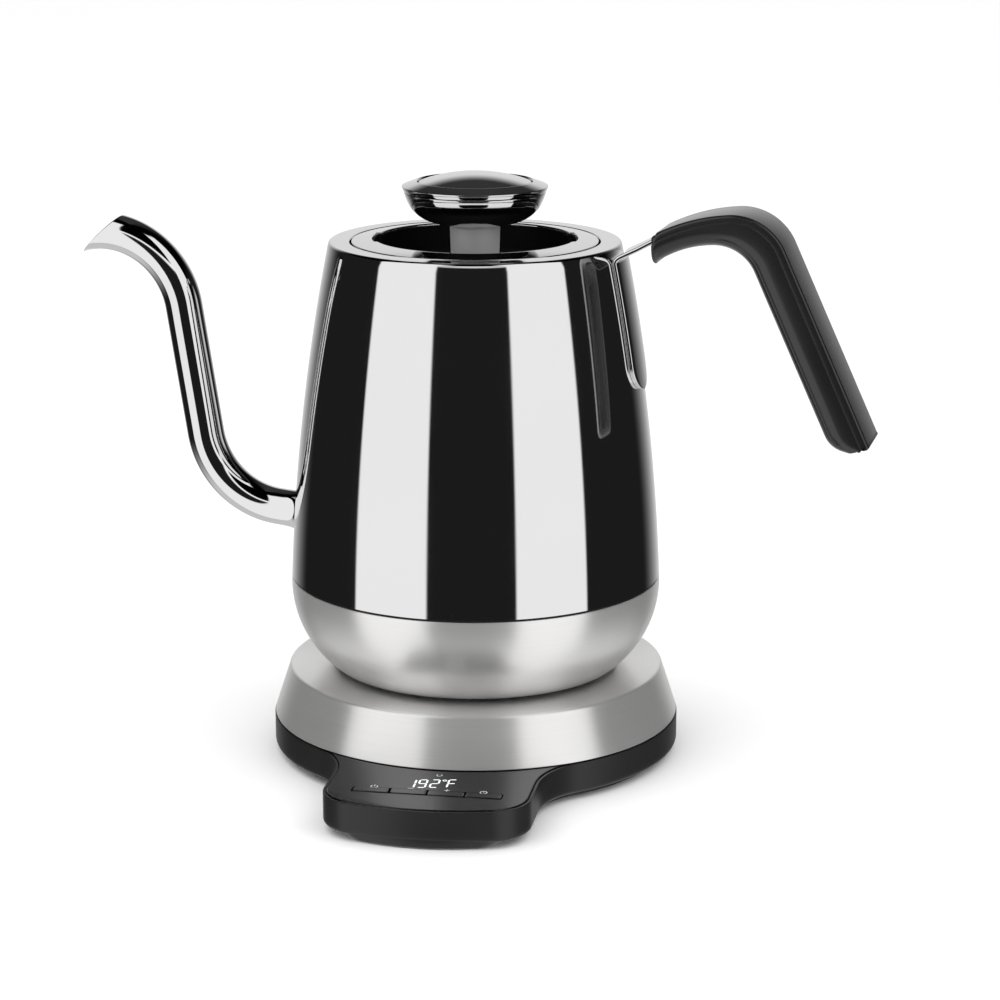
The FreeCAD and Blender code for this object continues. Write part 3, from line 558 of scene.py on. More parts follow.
def colour_mix(graph: NodeGraph, factor: Socket, dark: tuple, pale: tuple,
               ) -> Socket:
    """Colour between two ends.

    Args:
        graph: where to add the node.
        factor: 0 for the dark end, 1 for the pale one.
        dark, pale: RGBA ends.

    Returns:
        Colour socket.
    """
    node = graph.add("ShaderNodeMix", data_type="RGBA")
    graph.tree.links.new(factor, node.inputs[0])
    node.inputs[6].default_value = dark
    node.inputs[7].default_value = pale
    return node.outputs[2]


POLISHED_STEEL = Finish("polished_steel", (0.86, 0.86, 0.865), 0.045, 1.0, Grain.POLISHED,
                        bump=0.02 * MM, roughness_spread=0.015, colour_spread=0.01)
BRUSHED_STEEL = Finish("brushed_steel", (0.90, 0.895, 0.885), 0.31, 0.78, Grain.TURNED,
                       grain_size=0.22 * MM, bump=0.0009 * MM, roughness_spread=0.03,
                       colour_spread=0.02, anisotropy=0.8)
SATIN_STEEL = Finish("inner_steel", (0.66, 0.66, 0.66), 0.28, 1.0, Grain.TURNED,
                     grain_size=0.6 * MM, bump=0.003 * MM, roughness_spread=0.04)
GREY_METAL = Finish("grey_metal", (0.62, 0.62, 0.62), 0.5, 0.2, Grain.TURNED,
                    grain_size=0.5 * MM, bump=0.001 * MM, colour_spread=0.03)
GRIP_BLACK = Finish("grip_black", (0.011, 0.011, 0.0115), 0.24, grain=Grain.MOULDED,
                    grain_size=0.35 * MM, bump=0.0015 * MM, colour_spread=0.12, coat=0.4)
BASE_BLACK = Finish("base_black", (0.012, 0.012, 0.0125), 0.38, grain=Grain.MOULDED,
                    grain_size=0.3 * MM, bump=0.003 * MM, colour_spread=0.12)
GLOSS_BLACK = Finish("gloss_black", (0.003, 0.003, 0.0035), 0.05, grain=Grain.POLISHED,
                     bump=0.002 * MM, roughness_spread=0.02, coat=0.15)
WELL_BLACK = Finish("well_black", (0.004, 0.004, 0.004), 0.5, grain=Grain.MOULDED,
                    grain_size=0.8 * MM, bump=0.002 * MM, specular=0.12)
SEAL_RUBBER = Finish("seal_rubber", (0.012, 0.012, 0.012), 0.7, grain=Grain.MOULDED,
                     grain_size=0.5 * MM, bump=0.01 * MM, specular=0.2)
SPREADER_ALLOY = Finish("spreader_alloy", (0.72, 0.73, 0.74), 0.5, 1.0, Grain.MOULDED,
                        grain_size=0.7 * MM, bump=0.02 * MM)
ELEMENT_SHEATH = Finish("element_sheath", (0.28, 0.27, 0.26), 0.45, 0.9, Grain.MOULDED,
                        grain_size=2 * MM, bump=0.02 * MM, colour_spread=0.25)
CONTACT_BRASS = Finish("contact_brass", (0.78, 0.58, 0.26), 0.25, 1.0, Grain.POLISHED,
                       roughness_spread=0.08, colour_spread=0.1)
SCREW_STEEL = Finish("screw_steel", (0.55, 0.55, 0.56), 0.35, 1.0, Grain.TURNED,
                     grain_size=0.3 * MM, bump=0.004 * MM)
BOARD_GREEN = Finish("board_green", (0.025, 0.16, 0.06), 0.35, grain=Grain.MOULDED,
                     grain_size=1.5 * MM, bump=0.01 * MM, colour_spread=0.2, coat=0.3)
PART_PLASTIC = Finish("part_plastic", (0.16, 0.16, 0.17), 0.5, grain=Grain.MOULDED,
                      grain_size=0.5 * MM, bump=0.01 * MM)
DISPLAY_WHITE = Finish("display_white", (0.80, 0.83, 0.84), 0.5, colour_spread=0.02, glow=0.55)
ICON_WHITE = Finish("icon_white", (0.62, 0.64, 0.65), 0.5, colour_spread=0.02, glow=0.2)
FINISHES = {finish.name: finish for finish in (
    POLISHED_STEEL, BRUSHED_STEEL, SATIN_STEEL, GREY_METAL, GRIP_BLACK, BASE_BLACK, GLOSS_BLACK,
    WELL_BLACK, SEAL_RUBBER, SPREADER_ALLOY, ELEMENT_SHEATH, CONTACT_BRASS, SCREW_STEEL,
    BOARD_GREEN, PART_PLASTIC)}


def place(piece: Thing, finish: Finish, body: str, *nodes: str, slot: str = "") -> None:
    """Dress a piece, put it on its body and report it.

    Args:
        piece: the object.
        finish: its finish.
        body: the body that it rides on.
        nodes: frame nodes that it stands for.
        slot: not used.
    """
    piece.data.materials.clear()
    piece.data.materials.append(finish.material())
    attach(piece, body)
    if nodes:
        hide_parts(*nodes)
    log.info("%s: %d faces on %s", piece.name, len(piece.data.polygons), body)


# ---------------------------------------------------------------- kettle
@dataclass
class Vessel:
    """Polished body with its mouth, the seam ring and the brushed band below it."""
    rim_r: float = 51.3 * MM
    waist_r: float = 61.1 * MM
    seam_r: float = 66.0 * MM
    sheet: float = 0.9 * MM
    mouth_r: float = 43.9 * MM
    ledge_r: float = 40.5 * MM
    band_belly: Pair = (62.4 * MM, 45.9 * MM)
    band_foot_r: float = 51.5 * MM
    rim_z: float = field(default_factory=lambda: high("body_shell"))
    seam_low: float = field(default_factory=lambda: low("seam_ring"))
    seam_high: float = field(default_factory=lambda: high("seam_ring"))
    ledge_z: float = field(default_factory=lambda: low("mouth_collar") + 0.9 * MM)
    band_foot_z: float = field(default_factory=lambda: low("lower_band"))

    def __post_init__(self) -> None:
        """Work out the circle that the body's side follows, through rim, waist and seam."""
        middle = (self.seam_low + self.seam_high) / 2
        waist_z = (self.rim_z + middle) / 2
        points = line((self.rim_r, self.rim_z), (self.waist_r, waist_z), (self.seam_r, middle))
        self.centre, self.curve_r = circle_through(*points)

    def radius(self, z: Array | float, inset: float = 0.0) -> Array | float:
        """Radius of the body's side at a height: the circle's point at that height."""
        return self.centre[0] + np.sqrt((self.curve_r - inset) ** 2 - (z - self.centre[1]) ** 2)

    def side(self, z_from: float, z_to: float, count: int, inset: float = 0.0) -> Array:
        """Profile points of the body's side between two heights."""
        z = np.linspace(z_from, z_to, count)
        return np.stack([self.radius(z, inset), z], -1)

    def body(self) -> Thing:
        """Polished body: outer side, rolled rim, flat ring, mouth wall, ledge and inner side.

        Returns:
            The object.
        """
        top, mm = self.rim_z, MM
        wall = self.mouth_r + self.sheet
        outer = self.side(self.seam_high, top - 0.8 * mm, 56)
        rim = arc((self.radius(top - 0.8 * mm), top - 0.8 * mm), (self.rim_r - 0.27 * mm, top - 0.22 * mm),
                  (self.rim_r - 0.95 * mm, top), 7)
        ring = line((self.rim_r - 1.3 * mm, top), (self.mouth_r + 0.9 * mm, top))
        lip = arc((self.mouth_r + 0.7 * mm, top), (self.mouth_r + 0.2 * mm, top - 0.2 * mm),
                  (self.mouth_r, top - 0.7 * mm), 6)
        ledge = soften(line(
            (self.mouth_r, top - 1.0 * mm), (self.mouth_r, self.ledge_z), (self.ledge_r, self.ledge_z),
            (self.ledge_r, self.ledge_z - self.sheet), (wall, self.ledge_z - self.sheet),
            (wall, top - self.sheet), (wall + 1.0 * mm, top - self.sheet)), 0.2 * mm, closed=False)
        inner = self.side(top - self.sheet, self.seam_high, 40, self.sheet)
        profile = np.concatenate([outer, rim[1:], ring, lip, ledge, inner])
        return build("polished_body", lathe(profile, count=FINE_ROUND, on_kettle=True))

    def band(self) -> Thing:
        """Brushed band: one arc outside, the same curve a sheet thickness inside.

        Returns:
            The object.
        """
        top, foot = self.seam_low, (self.band_foot_r, self.band_foot_z)
        wall = 1.0 * MM
        r, z = self.band_belly
        outer = arc((self.seam_r, top), (r, z), foot, 40)
        inner = arc((foot[0] - 1.3 * MM, foot[1] + 0.6 * MM), (r - wall, z + 0.5 * MM),
                    (self.seam_r - wall, top), 30)
        profile = soften(np.concatenate([outer, inner]), 0.25 * MM)
        return build("brushed_band", lathe(profile, count=FINE_ROUND, on_kettle=True))

    def seam(self) -> Thing:
        """Dark ring in the groove between body and band.

        Returns:
            The object.
        """
        outer, inner = self.seam_r - 0.4 * MM, self.seam_r - 2.1 * MM
        loop = line((outer, self.seam_low), (outer, self.seam_high),
                    (inner, self.seam_high), (inner, self.seam_low))
        return build("seam_gasket", lathe(soften(loop, 0.1 * MM, 2)))

    def dress(self) -> None:
        """Build and place the pieces."""
        place(self.body(), POLISHED_STEEL, "kettle", "body_shell", "mouth_collar")
        place(self.band(), BRUSHED_STEEL, "kettle", "lower_band")
        place(self.seam(), SEAL_RUBBER, "kettle", "seam_ring")


@dataclass
class Gooseneck:
    """Slim curved spout: a tube with a thin rounded lip and a small flare at its weld."""
    vessel: Vessel
    tube_r: float = 6.7 * MM
    bore_r: float = 5.9 * MM
    flare: float = 1.7 * MM
    flare_length: float = 2.2 * MM
    stations: int = 170
    spokes: int = 56
    tip_low: Pair = (-148.6 * MM, 173.4 * MM)
    tip_high: Pair = (-132.2 * MM, 188.4 * MM)
    track: Track = Track((-58.0 * MM, 81.6 * MM), 174.0, (
        (16.9 * MM, None), (31.0 * MM, -75.2), (47.0 * MM, None), (31.0 * MM, 105.2)))

    def surface(self, s: Array, spoke: Array, radius: Array | float) -> Array:
        """Points round the centreline: place + r cos(a) normal + r sin(a) sideways.

        Args:
            s: distances along the path.
            spoke: angles round the tube.
            radius: tube radii.

        Returns:
            Points, the last axis holding x, y and z.
        """
        place_at, normal = self.track.at(s)
        flat = place_at + (radius * np.cos(spoke))[..., None] * normal
        side = np.broadcast_to(radius * np.sin(spoke), flat.shape[:-1])
        return np.stack([flat[..., 0], side, flat[..., 1]], -1)

    def root(self, spoke: Array, radius: float) -> Array:
        """Path distance where each spoke's line leaves the body's outer surface.

        Args:
            spoke: angles round the tube.
            radius: tube radius.

        Returns:
            One distance per spoke.
        """
        def outside(s: Array) -> Array:
            """Distance outside the body."""
            p = self.surface(s, spoke, radius)
            return np.hypot(p[..., 0], p[..., 1]) - self.vessel.radius(p[..., 2])
        return bisect(outside, np.zeros_like(spoke), np.full_like(spoke, 22 * MM))

    def tip(self, spoke: Array, radius: Array) -> Array:
        """Path distance where each spoke's line meets the slanting plane of the mouth.

        Args:
            spoke: angles round the tube.
            radius: tube radius.

        Returns:
            One distance per spoke.
        """
        start, end = np.array(self.tip_low), np.array(self.tip_high)
        along = (end - start) / np.linalg.norm(end - start)
        out = np.array([-along[1], along[0]])

        def beyond(s: Array) -> Array:
            """Distance past the plane."""
            p = self.surface(s, spoke, radius)
            return (p[..., [0, 2]] - start) @ out
        whole = self.track.length()
        spoke, radius = np.broadcast_arrays(spoke, radius)
        return bisect(beyond, np.full(spoke.shape, whole - 45 * MM), np.full(spoke.shape, whole))

    def tube(self) -> Thing:
        """Outer skin from weld to lip, round the lip, and back down the bore.

        Returns:
            The object.
        """
        spoke = np.arange(self.spokes) * (2 * math.pi / self.spokes)
        wall = (self.tube_r - self.bore_r) / 2
        middle_r = self.tube_r - wall
        f = np.linspace(0, 1, self.stations)[:, None]
        f = f * 0.85 + 0.15 * f ** 2
        out_start = self.root(spoke, self.tube_r + self.flare)
        out_end = self.tip(spoke, np.float64(self.tube_r)) - wall
        s_out = out_start + f * (out_end - out_start)
        swell = self.flare * np.exp(-((s_out - out_start) / self.flare_length) ** 1.3)
        outer = self.surface(s_out, spoke, self.tube_r + swell)
        turn = np.linspace(0, math.pi, 9)[1:-1, None]
        lip_r = middle_r + wall * np.cos(turn) + 0 * spoke
        lip = self.surface(self.tip(spoke, lip_r) - wall + wall * np.sin(turn), spoke, lip_r)
        in_start = self.root(spoke, self.bore_r)
        in_end = self.tip(spoke, np.float64(self.bore_r)) - wall
        s_in = in_start + f[::-1] * (in_end - in_start)
        inner = self.surface(s_in, spoke, self.bore_r)
        grid = turned(np.concatenate([outer, lip, inner]))
        return build("gooseneck_tube", Patch(grid, wrap_rows=True))

    def bore_cutter(self) -> Thing:
        """Plug of the bore's size through the body wall, which cuts the spout's inlet.

        Returns:
            The object.
        """
        spoke = np.arange(self.spokes) * (2 * math.pi / self.spokes)
        s = np.array([[0.0], [14 * MM]])
        return build("inlet_cutter", Patch(turned(self.surface(s, spoke, self.bore_r)), lids=True))

    def dress(self, body: Thing) -> None:
        """Place the tube and cut its inlet out of the body.

        Args:
            body: the polished body.
        """
        place(self.tube(), POLISHED_STEEL, "kettle", "gooseneck_spout")
        cut_out(body, self.bore_cutter())


def cut_out(piece: Thing, cutter: Thing) -> None:
    """Take a cutter's volume out of a piece and remove the cutter.

    Args:
        piece: mesh object that keeps the result.
        cutter: closed mesh object.
    """
    modifier = piece.modifiers.new("cut", "BOOLEAN")
    modifier.operation = "DIFFERENCE"
    modifier.solver = "EXACT"
    modifier.object = cutter
    depsgraph = bpy.context.evaluated_depsgraph_get()
    result = bpy.data.meshes.new_from_object(piece.evaluated_get(depsgraph))
    piece.modifiers.clear()
    old = piece.data
    piece.data = result
    bpy.data.meshes.remove(old)
    bpy.data.objects.remove(cutter)
    piece.data.set_sharp_from_angle(angle=SHARP)


@dataclass
class Handle:
    """Open black grip in two halves on a bent polished strap."""
    vessel: Vessel
    width: float = 24.0 * MM
    cover: float = 3.0 * MM
    back_edge: float = 1.3 * MM
    finger_edge: float = 6.0 * MM
    parting: float = 0.16 * MM
    nose_r: float = 9.0 * MM
    end_round: float = 1.6 * MM
    strap_w: float = 20.0 * MM
    strap_t: float = 1.6 * MM
    strap_depth: float = 2.2 * MM
    strap_low: float = 134.5 * MM
    strap_bend: float = 181.0 * MM
    back: Track = Track((65.2 * MM, 190.4 * MM), 29.0, (
        (66.0 * MM, -24.0), (20.1 * MM, -70.3), (73.4 * MM, None)))
    finger: Track = Track((65.5 * MM, 180.0 * MM), 36.0, (
        (37.9 * MM, -33.3), (15.0 * MM, -68.0), (61.0 * MM, None)))
    counts: tuple[int, ...] = (26, 40, 30)

    def rails(self) -> tuple[Array, Array, Array]:
        """Stations from the mouth to the free end.

        Both tracks have the same three moves, so a station is the same share of each move. The
        nose follows on the finger side: at angle a it lies r sin(a) further along the leg and
        r (1 - cos a) nearer the back, while the back runs on to its own end.

        Returns:
            Back points and unit directions to the finger side (n, 2), and depths (n,).
        """
        ends = [np.concatenate([[0.0], np.cumsum(track.lengths())]) for track in (self.back, self.finger)]
        nose_s = self.back.length() - self.nose_r
        ends[0][3] = nose_s
        s_back, s_finger = (np.concatenate([
            np.linspace(end[i], end[i + 1], n, endpoint=i == 2) for i, n in enumerate(self.counts)])
            for end in ends)
        finger, normal = self.finger.at(s_finger)
        a = np.linspace(0, math.pi / 2, 13)[1:, None]
        leg = np.array([normal[-1][1], -normal[-1][0]])
        nose = finger[-1] + self.nose_r * (np.sin(a) * leg + (1 - np.cos(a)) * normal[-1])
        back, _ = self.back.at(np.concatenate([s_back, nose_s + self.nose_r * np.sin(a[:, 0])]))
        across = np.concatenate([finger, nose]) - back
        depth = np.linalg.norm(across, axis=1)
        return back, across / depth[:, None], depth

    def section(self, back: Array, across: Array, shallow: Array, deep: Array, inset: Array,
                edges: Pair) -> Array:
        """Rounded rectangles at each station, from a shallow to a deep distance below the back.

        A corner's centre is the rectangle's corner moved in by its radius, and its points are the
        centre plus the radius at angle a; the inset shrinks the whole rectangle.

        Args:
            back: points on the back track (n, 2).
            across: unit directions from back to finger side (n, 2).
            shallow, deep, inset: arrays (n,).
            edges: corner radii on the shallow and deep side.

        Returns:
            Grid (n, m, 3).
        """
        steps = 7
        a = np.linspace(0, math.pi / 2, steps)
        half = self.width / 2 - inset
        columns_y, columns_d = [], []
        limit = (deep - shallow) / 2 - inset
        for quarter, (side, is_deep) in enumerate(((1, True), (-1, True), (-1, False), (1, False))):
            radius = np.minimum(edges[1] if is_deep else edges[0], limit * 1.8)
            radius = np.maximum(radius - inset * 0.6, 0.08 * MM)
            y_centre = side * (half - radius)
            d_centre = np.where(is_deep, deep - inset - radius, shallow + inset + radius)
            angle = quarter * math.pi / 2 + a
            y = y_centre[:, None] + radius[:, None] * np.cos(angle)
            d = d_centre[:, None] + radius[:, None] * np.sin(angle)
            columns_y.append(y)
            columns_d.append(d)
        y, d = np.concatenate(columns_y, 1), np.concatenate(columns_d, 1)
        flat = back[:, None] + d[..., None] * across[:, None]
        return np.stack([flat[..., 0], y, flat[..., 1]], -1)

    def half_grip(self, name: str, front: bool) -> Thing:
        """One half of the grip, with rounded ends.

        Args:
            name: name of the piece.
            front: the finger half, or else the back cover.

        Returns:
            The object.
        """
        back, across, depth = self.rails()
        cover = np.full(len(back), self.cover)
        shallow, deep = (cover, depth) if front else (0 * cover, cover)
        edges = (self.parting, self.finger_edge) if front else (self.back_edge, self.parting)
        round_r = min(self.end_round, 0.45 * float(np.min(deep - shallow)))
        grid = self.section(back, across, shallow, deep, 0 * cover, edges)
        rotate = np.array([[0.0, -1.0], [1.0, 0.0]])
        first = self.closing(back[0], across[0], shallow[0], deep[0], edges, across[0] @ rotate, round_r)
        last = self.closing(back[-1], across[-1], shallow[-1], deep[-1], edges, -across[-1] @ rotate, round_r)
        inside = slice(2, -3)
        return build(name, Patch(turned(np.concatenate([first[::-1], grid[inside], last])), lids=True))

    def closing(self, back: Array, across: Array, shallow: float, deep: float,
                edges: Pair, outward: Array, radius: float) -> Array:
        """Sections that round an end off inside its length.

        At angle a the section is shrunk by r (1 - cos a) and moved outward by r sin a, from r
        short of the end.

        Args:
            back, across: the end station's point and direction.
            shallow, deep: its depths.
            edges: corner radii.
            outward: unit direction out of the end.
            radius: size of the rounding.

        Returns:
            Grid (m, k, 3), from the body to the end.
        """
        a = np.linspace(0, math.pi / 2, 7)
        a = np.concatenate([a, [math.pi / 2]])
        inset = radius * (1 - np.cos(a))
        inset[-1] += 0.25 * radius
        move = radius * (np.sin(a) - 1.0)
        n = len(a)
        points = back + move[:, None] * outward
        return self.section(points, np.repeat(across[None], n, 0), np.full(n, shallow),
                            np.full(n, deep), inset, edges)

    def strap_path(self) -> tuple[Array, int]:
        """Centreline of the strap: plate, bend, arm and the tang inside the grip.

        The plate follows the body's side half a thickness out, the bend is a parabola on its
        corner, and the tang follows the grip's back track at the strap's depth.

        Returns:
            Points (n, 2), and how many of them are the plate's.
        """
        plate_z = np.linspace(self.strap_low + 0.02 * MM, self.strap_bend - 1.6 * MM, 60)
        offset = self.strap_t / 2
        plate = np.stack([self.vessel.radius(plate_z) + offset + 0.03 * MM, plate_z], -1)
        heading = math.radians(self.back.heading)
        along = np.array([math.cos(heading), math.sin(heading)])
        down = np.array([math.sin(heading), -math.cos(heading)])
        mouth = np.array(self.back.start) + down * self.strap_depth
        corner_x = self.vessel.radius(self.strap_bend) + offset
        corner = mouth - along * ((mouth[0] - corner_x) / along[0])
        bend_end = corner + along * 2.2 * MM
        t = np.linspace(0, 1, 9)[1:, None]
        bend = (1 - t) ** 2 * plate[-1] + 2 * t * (1 - t) * corner + t ** 2 * bend_end
        arm = bend_end + (mouth - bend_end) * np.linspace(0, 1, 12)[1:, None]
        tang, normal = self.back.at(np.linspace(0, 22 * MM, 14)[1:])
        return np.concatenate([plate, bend, arm, tang - normal * self.strap_depth]), len(plate)

    def strap_section(self, half_w: Array) -> tuple[Array, Array]:
        """Flat section with rounded edges at each station.

        Args:
            half_w: half widths (n, 1).

        Returns:
            Distances across the width and through the thickness, each (n, m).
        """
        half_t, edge = self.strap_t / 2, 0.45 * MM
        a = np.linspace(0, math.pi / 2, 5)
        share = np.linspace(-1, 1, 9)[1:-1]
        flats, rises = [], []
        for quarter, (side_y, side_d) in enumerate(((1, 1), (-1, 1), (-1, -1), (1, -1))):
            angle = quarter * math.pi / 2 + a
            flats.append(side_y * (half_w - edge) + edge * np.cos(angle))
            rises.append(np.broadcast_to(side_d * (half_t - edge) + edge * np.sin(angle), flats[-1].shape))
            if quarter in (0, 2):
                flats.append(-side_y * share * (half_w - edge))
                rises.append(np.broadcast_to(side_d * half_t + 0 * share, flats[-1].shape))
        return np.concatenate(flats, 1), np.concatenate(rises, 1)

    def strap(self) -> Thing:
        """Strap: a plate on the body with a round foot, a bend, an arm out to the grip and a tang.

        Across the width the plate keeps to the body's circle, x = sqrt(r^2 - y^2), and this
        hollow fades out along the arm.

        Returns:
            The object.
        """
        path, bent = self.strap_path()
        step = np.gradient(path, axis=0)
        step /= np.linalg.norm(step, axis=1)[:, None]
        out = np.stack([step[:, 1], -step[:, 0]], -1)
        gone = np.concatenate([[0.0], np.cumsum(np.linalg.norm(np.diff(path, axis=0), axis=1))])
        half_w = self.strap_w / 2
        round_foot = half_w ** 2 - np.clip(half_w - gone, 0, None) ** 2
        y, d = self.strap_section(np.sqrt(np.clip(round_foot, (0.3 * MM) ** 2, None))[:, None])
        hold = np.ones(len(path))
        hold[bent:] = np.clip(1 - (gone[bent:] - gone[bent]) / (9 * MM), 0, 1)
        body_r = self.vessel.radius(np.clip(path[:, 1], None, self.vessel.rim_z))[:, None]
        hollow = np.sqrt(body_r ** 2 - np.clip(y, -half_w, half_w) ** 2) - body_r
        flat = path[:, None] + d[..., None] * out[:, None]
        grid = np.stack([flat[..., 0] + hollow * hold[:, None], y, flat[..., 1]], -1)
        return build("handle_strap_bent", Patch(turned(grid), lids=True))

    def dress(self) -> None:
        """Build and place the grip halves and the strap."""
        place(self.half_grip("grip_back_cover", False), GRIP_BLACK, "kettle", "grip_back")
        place(self.half_grip("grip_finger_side", True), GRIP_BLACK, "kettle", "grip_front")
        place(self.strap(), POLISHED_STEEL, "kettle", "handle_strap")


@dataclass
class Lid:
    """Recessed lid: mirror ring, black well, grey post and chrome knob."""
    ring_r: float = 43.3 * MM
    ring_rise: float = 1.0 * MM
    well_r: float = 34.8 * MM
    knob_r: float = 25.6 * MM
    cap_r: float = 19.7 * MM
    notch: float = 1.2 * MM
    notch_half_angle: float = math.radians(17.0)
    notch_centre: float = math.radians(15.0)
    rim_z: float = field(default_factory=lambda: high("lid_flange"))
    floor_z: float = field(default_factory=lambda: low("knob_post"))
    knob_base_z: float = field(default_factory=lambda: low("knob_bowl"))
    knob_seam_z: float = field(default_factory=lambda: low("knob_rim"))
    knob_top_z: float = field(default_factory=lambda: high("knob_cap"))

    def ring(self) -> Thing:
        """Mirror ring round the well, with a skirt below and two notches in its inner edge.

        Returns:
            The object.
        """
        mm, inner_top = MM, self.rim_z
        top = inner_top - self.ring_rise
        outer = soften(line(
            (41.5 * mm, top - 1.2 * mm), (41.5 * mm, low("lid_flange")), (42.5 * mm, low("lid_flange")),
            (42.5 * mm, top - 1.2 * mm), (self.ring_r, top - 1.2 * mm), (self.ring_r, top),
            (self.well_r + 1.2 * mm, inner_top - 0.02 * mm)), 0.25 * mm, closed=False)
        lip = arc((self.well_r + 0.6 * mm, inner_top), (self.well_r + 0.18 * mm, inner_top - 0.18 * mm),
                  (self.well_r, inner_top - 0.6 * mm), 6)
        under = soften(line(
            (self.well_r, top - 1.8 * mm), (self.well_r, top - 2.2 * mm),
            (self.well_r + 1.0 * mm, top - 2.2 * mm), (self.well_r + 1.0 * mm, top - 1.2 * mm),
            (self.well_r + 2.0 * mm, top - 1.2 * mm)), 0.12 * mm, closed=False)
        return build("lid_ring", self.notched(np.concatenate([outer, lip, under])))

    def notched(self, profile: Array) -> Patch:
        """Turned surface whose innermost part steps outward at the two notches.

        Points within 2.6 mm of the well's radius move outward by the notch depth times the square
        root of how near they are, where the bearing is within the notch's half angle.

        Args:
            profile: closed profile (n, 2).

        Returns:
            The grid, in the row frame.
        """
        patch = lathe(profile, count=NOTCHED_ROUND)
        angle = np.arange(NOTCHED_ROUND) * (2 * math.pi / NOTCHED_ROUND)
        right = np.abs((angle - self.notch_centre + math.pi) % (2 * math.pi) - math.pi)
        left = np.abs((angle - self.notch_centre) % (2 * math.pi) - math.pi)
        inside = np.clip((self.notch_half_angle - np.minimum(right, left)) / math.radians(1.0), 0, 1)
        near = np.clip((self.well_r + 2.6 * MM - profile[:, :1]) / (2.6 * MM), 0, 1)
        near *= (profile[:, 1:] > self.rim_z - 6.0 * MM) & (profile[:, :1] > self.well_r - 1.1 * MM)
        grow = 1 + self.notch * inside * np.sqrt(near) / np.maximum(profile[:, :1], self.well_r)
        patch.points[..., :2] *= grow[..., None]
        patch.points = turned(patch.points)
        return patch

    def well(self) -> Thing:
        """Dished black floor and wall between the ring and the post.

        Returns:
            The object.
        """
        mm, floor, top = MM, self.floor_z, high("lid_well")
        r = self.well_r
        inside = arc((r - 1.2 * mm, floor + 3.5 * mm), (r - 2.2 * mm, floor + 0.9 * mm),
                     (r - 4.6 * mm, floor), 10)
        below = arc((r - 4.0 * mm, floor - 1.6 * mm), (r - 0.9 * mm, floor - 0.1 * mm),
                    (r + 0.6 * mm, floor + 3.3 * mm), 10)
        collar = self.rim_z - 0.8 * mm
        profile = np.concatenate([
            line((41.2 * mm, top), (r - 0.08 * mm, top), (r - 0.08 * mm, collar), (r - 0.5 * mm, collar),
                 (r - 0.55 * mm, top)), inside,
            line((2.4 * mm, floor), (2.4 * mm, floor - 1.6 * mm)), below,
            line((r + 1.2 * mm, top - 1.4 * mm), (41.2 * mm, top - 1.4 * mm))])
        return build("lid_well_dish", self.notched(soften(profile, 0.15 * mm)))

    def post(self) -> Thing:
        """Grey post with a small foot and a flare under the knob.

        Returns:
            The object.
        """
        mm, z = MM, self.knob_base_z
        foot = line((2.4 * mm, self.floor_z), (8.3 * mm, self.floor_z))
        flare = arc((8.8 * mm, z - 2.0 * mm), (9.0 * mm, z - 0.8 * mm), (9.8 * mm, z), 7)
        profile = np.concatenate([foot, flare, line((2.4 * mm, z))])
        return build("knob_stem", lathe(profile, count=96))

    def bowl(self) -> Thing:
        """Lower part of the knob, curving out to its ridge.

        Returns:
            The object.
        """
        mm, z, seam = MM, self.knob_base_z, self.knob_seam_z - 0.1 * MM
        lower = arc((11.8 * mm, z), (18.2 * mm, z + 1.5 * mm), (22.6 * mm, z + 5.3 * mm), 16)
        upper = arc((22.6 * mm, z + 5.3 * mm), (23.9 * mm, z + 7.9 * mm), (24.85 * mm, seam), 12)
        inner = line((21.5 * mm, seam), (17.0 * mm, z + 3.4 * mm), (2.1 * mm, z + 3.4 * mm))
        profile = np.concatenate([line((2.1 * mm, z)), lower, upper[1:], inner])
        return build("knob_bowl_turned", lathe(soften(profile, 0.14 * mm)))

    def rim(self) -> Thing:
        """Upper part of the knob, leaning out to its widest edge and in to the cap's groove.

        Returns:
            The object.
        """
        mm, seam = MM, self.knob_seam_z
        edge_z = high("knob_rim") - 1.9 * mm
        groove = self.cap_r + 0.35 * mm
        side = arc((24.85 * mm, seam), (25.3 * mm, seam + 1.0 * mm), (self.knob_r, edge_z), 8)
        rest = line((self.knob_r - 0.5 * mm, edge_z + 0.25 * mm), (groove + 0.5 * mm, edge_z + 1.9 * mm),
                    (groove, edge_z + 1.3 * mm), (groove, edge_z - 0.6 * mm), (21.4 * mm, edge_z - 0.6 * mm),
                    (21.4 * mm, seam))
        return build("knob_rim_turned", lathe(soften(np.concatenate([side, rest]), 0.22 * mm)))

    def cap(self) -> Thing:
        """Domed cap: height falls with the square of the radius, from the top to the edge.

        Returns:
            The object.
        """
        mm, top = MM, self.knob_top_z
        edge_z = high("knob_rim") - 0.5 * mm
        bottom = low("knob_cap")
        r = np.linspace(0, self.cap_r - 0.35 * mm, 26)
        dome = np.stack([r, top - (top - edge_z) * (r / self.cap_r) ** 2], -1)
        edge = arc(tuple(dome[-1]), (self.cap_r - 0.1 * mm, edge_z - 0.05 * mm),
                   (self.cap_r, edge_z - 0.35 * mm), 5)
        profile = np.concatenate([dome, edge[1:], line((self.cap_r, bottom), (0.0, bottom))])
        return build("knob_cap_domed", lathe(profile, closed=False))

    def dress(self) -> None:
        """Build and place the pieces."""
        place(self.ring(), POLISHED_STEEL, "lid", "lid_flange")
        place(self.well(), WELL_BLACK, "lid", "lid_well")
        place(self.post(), GREY_METAL, "lid", "knob_post")
        place(self.bowl(), POLISHED_STEEL, "lid", "knob_bowl")
        place(self.rim(), POLISHED_STEEL, "lid", "knob_rim")
        place(self.cap(), POLISHED_STEEL, "lid", "knob_cap")


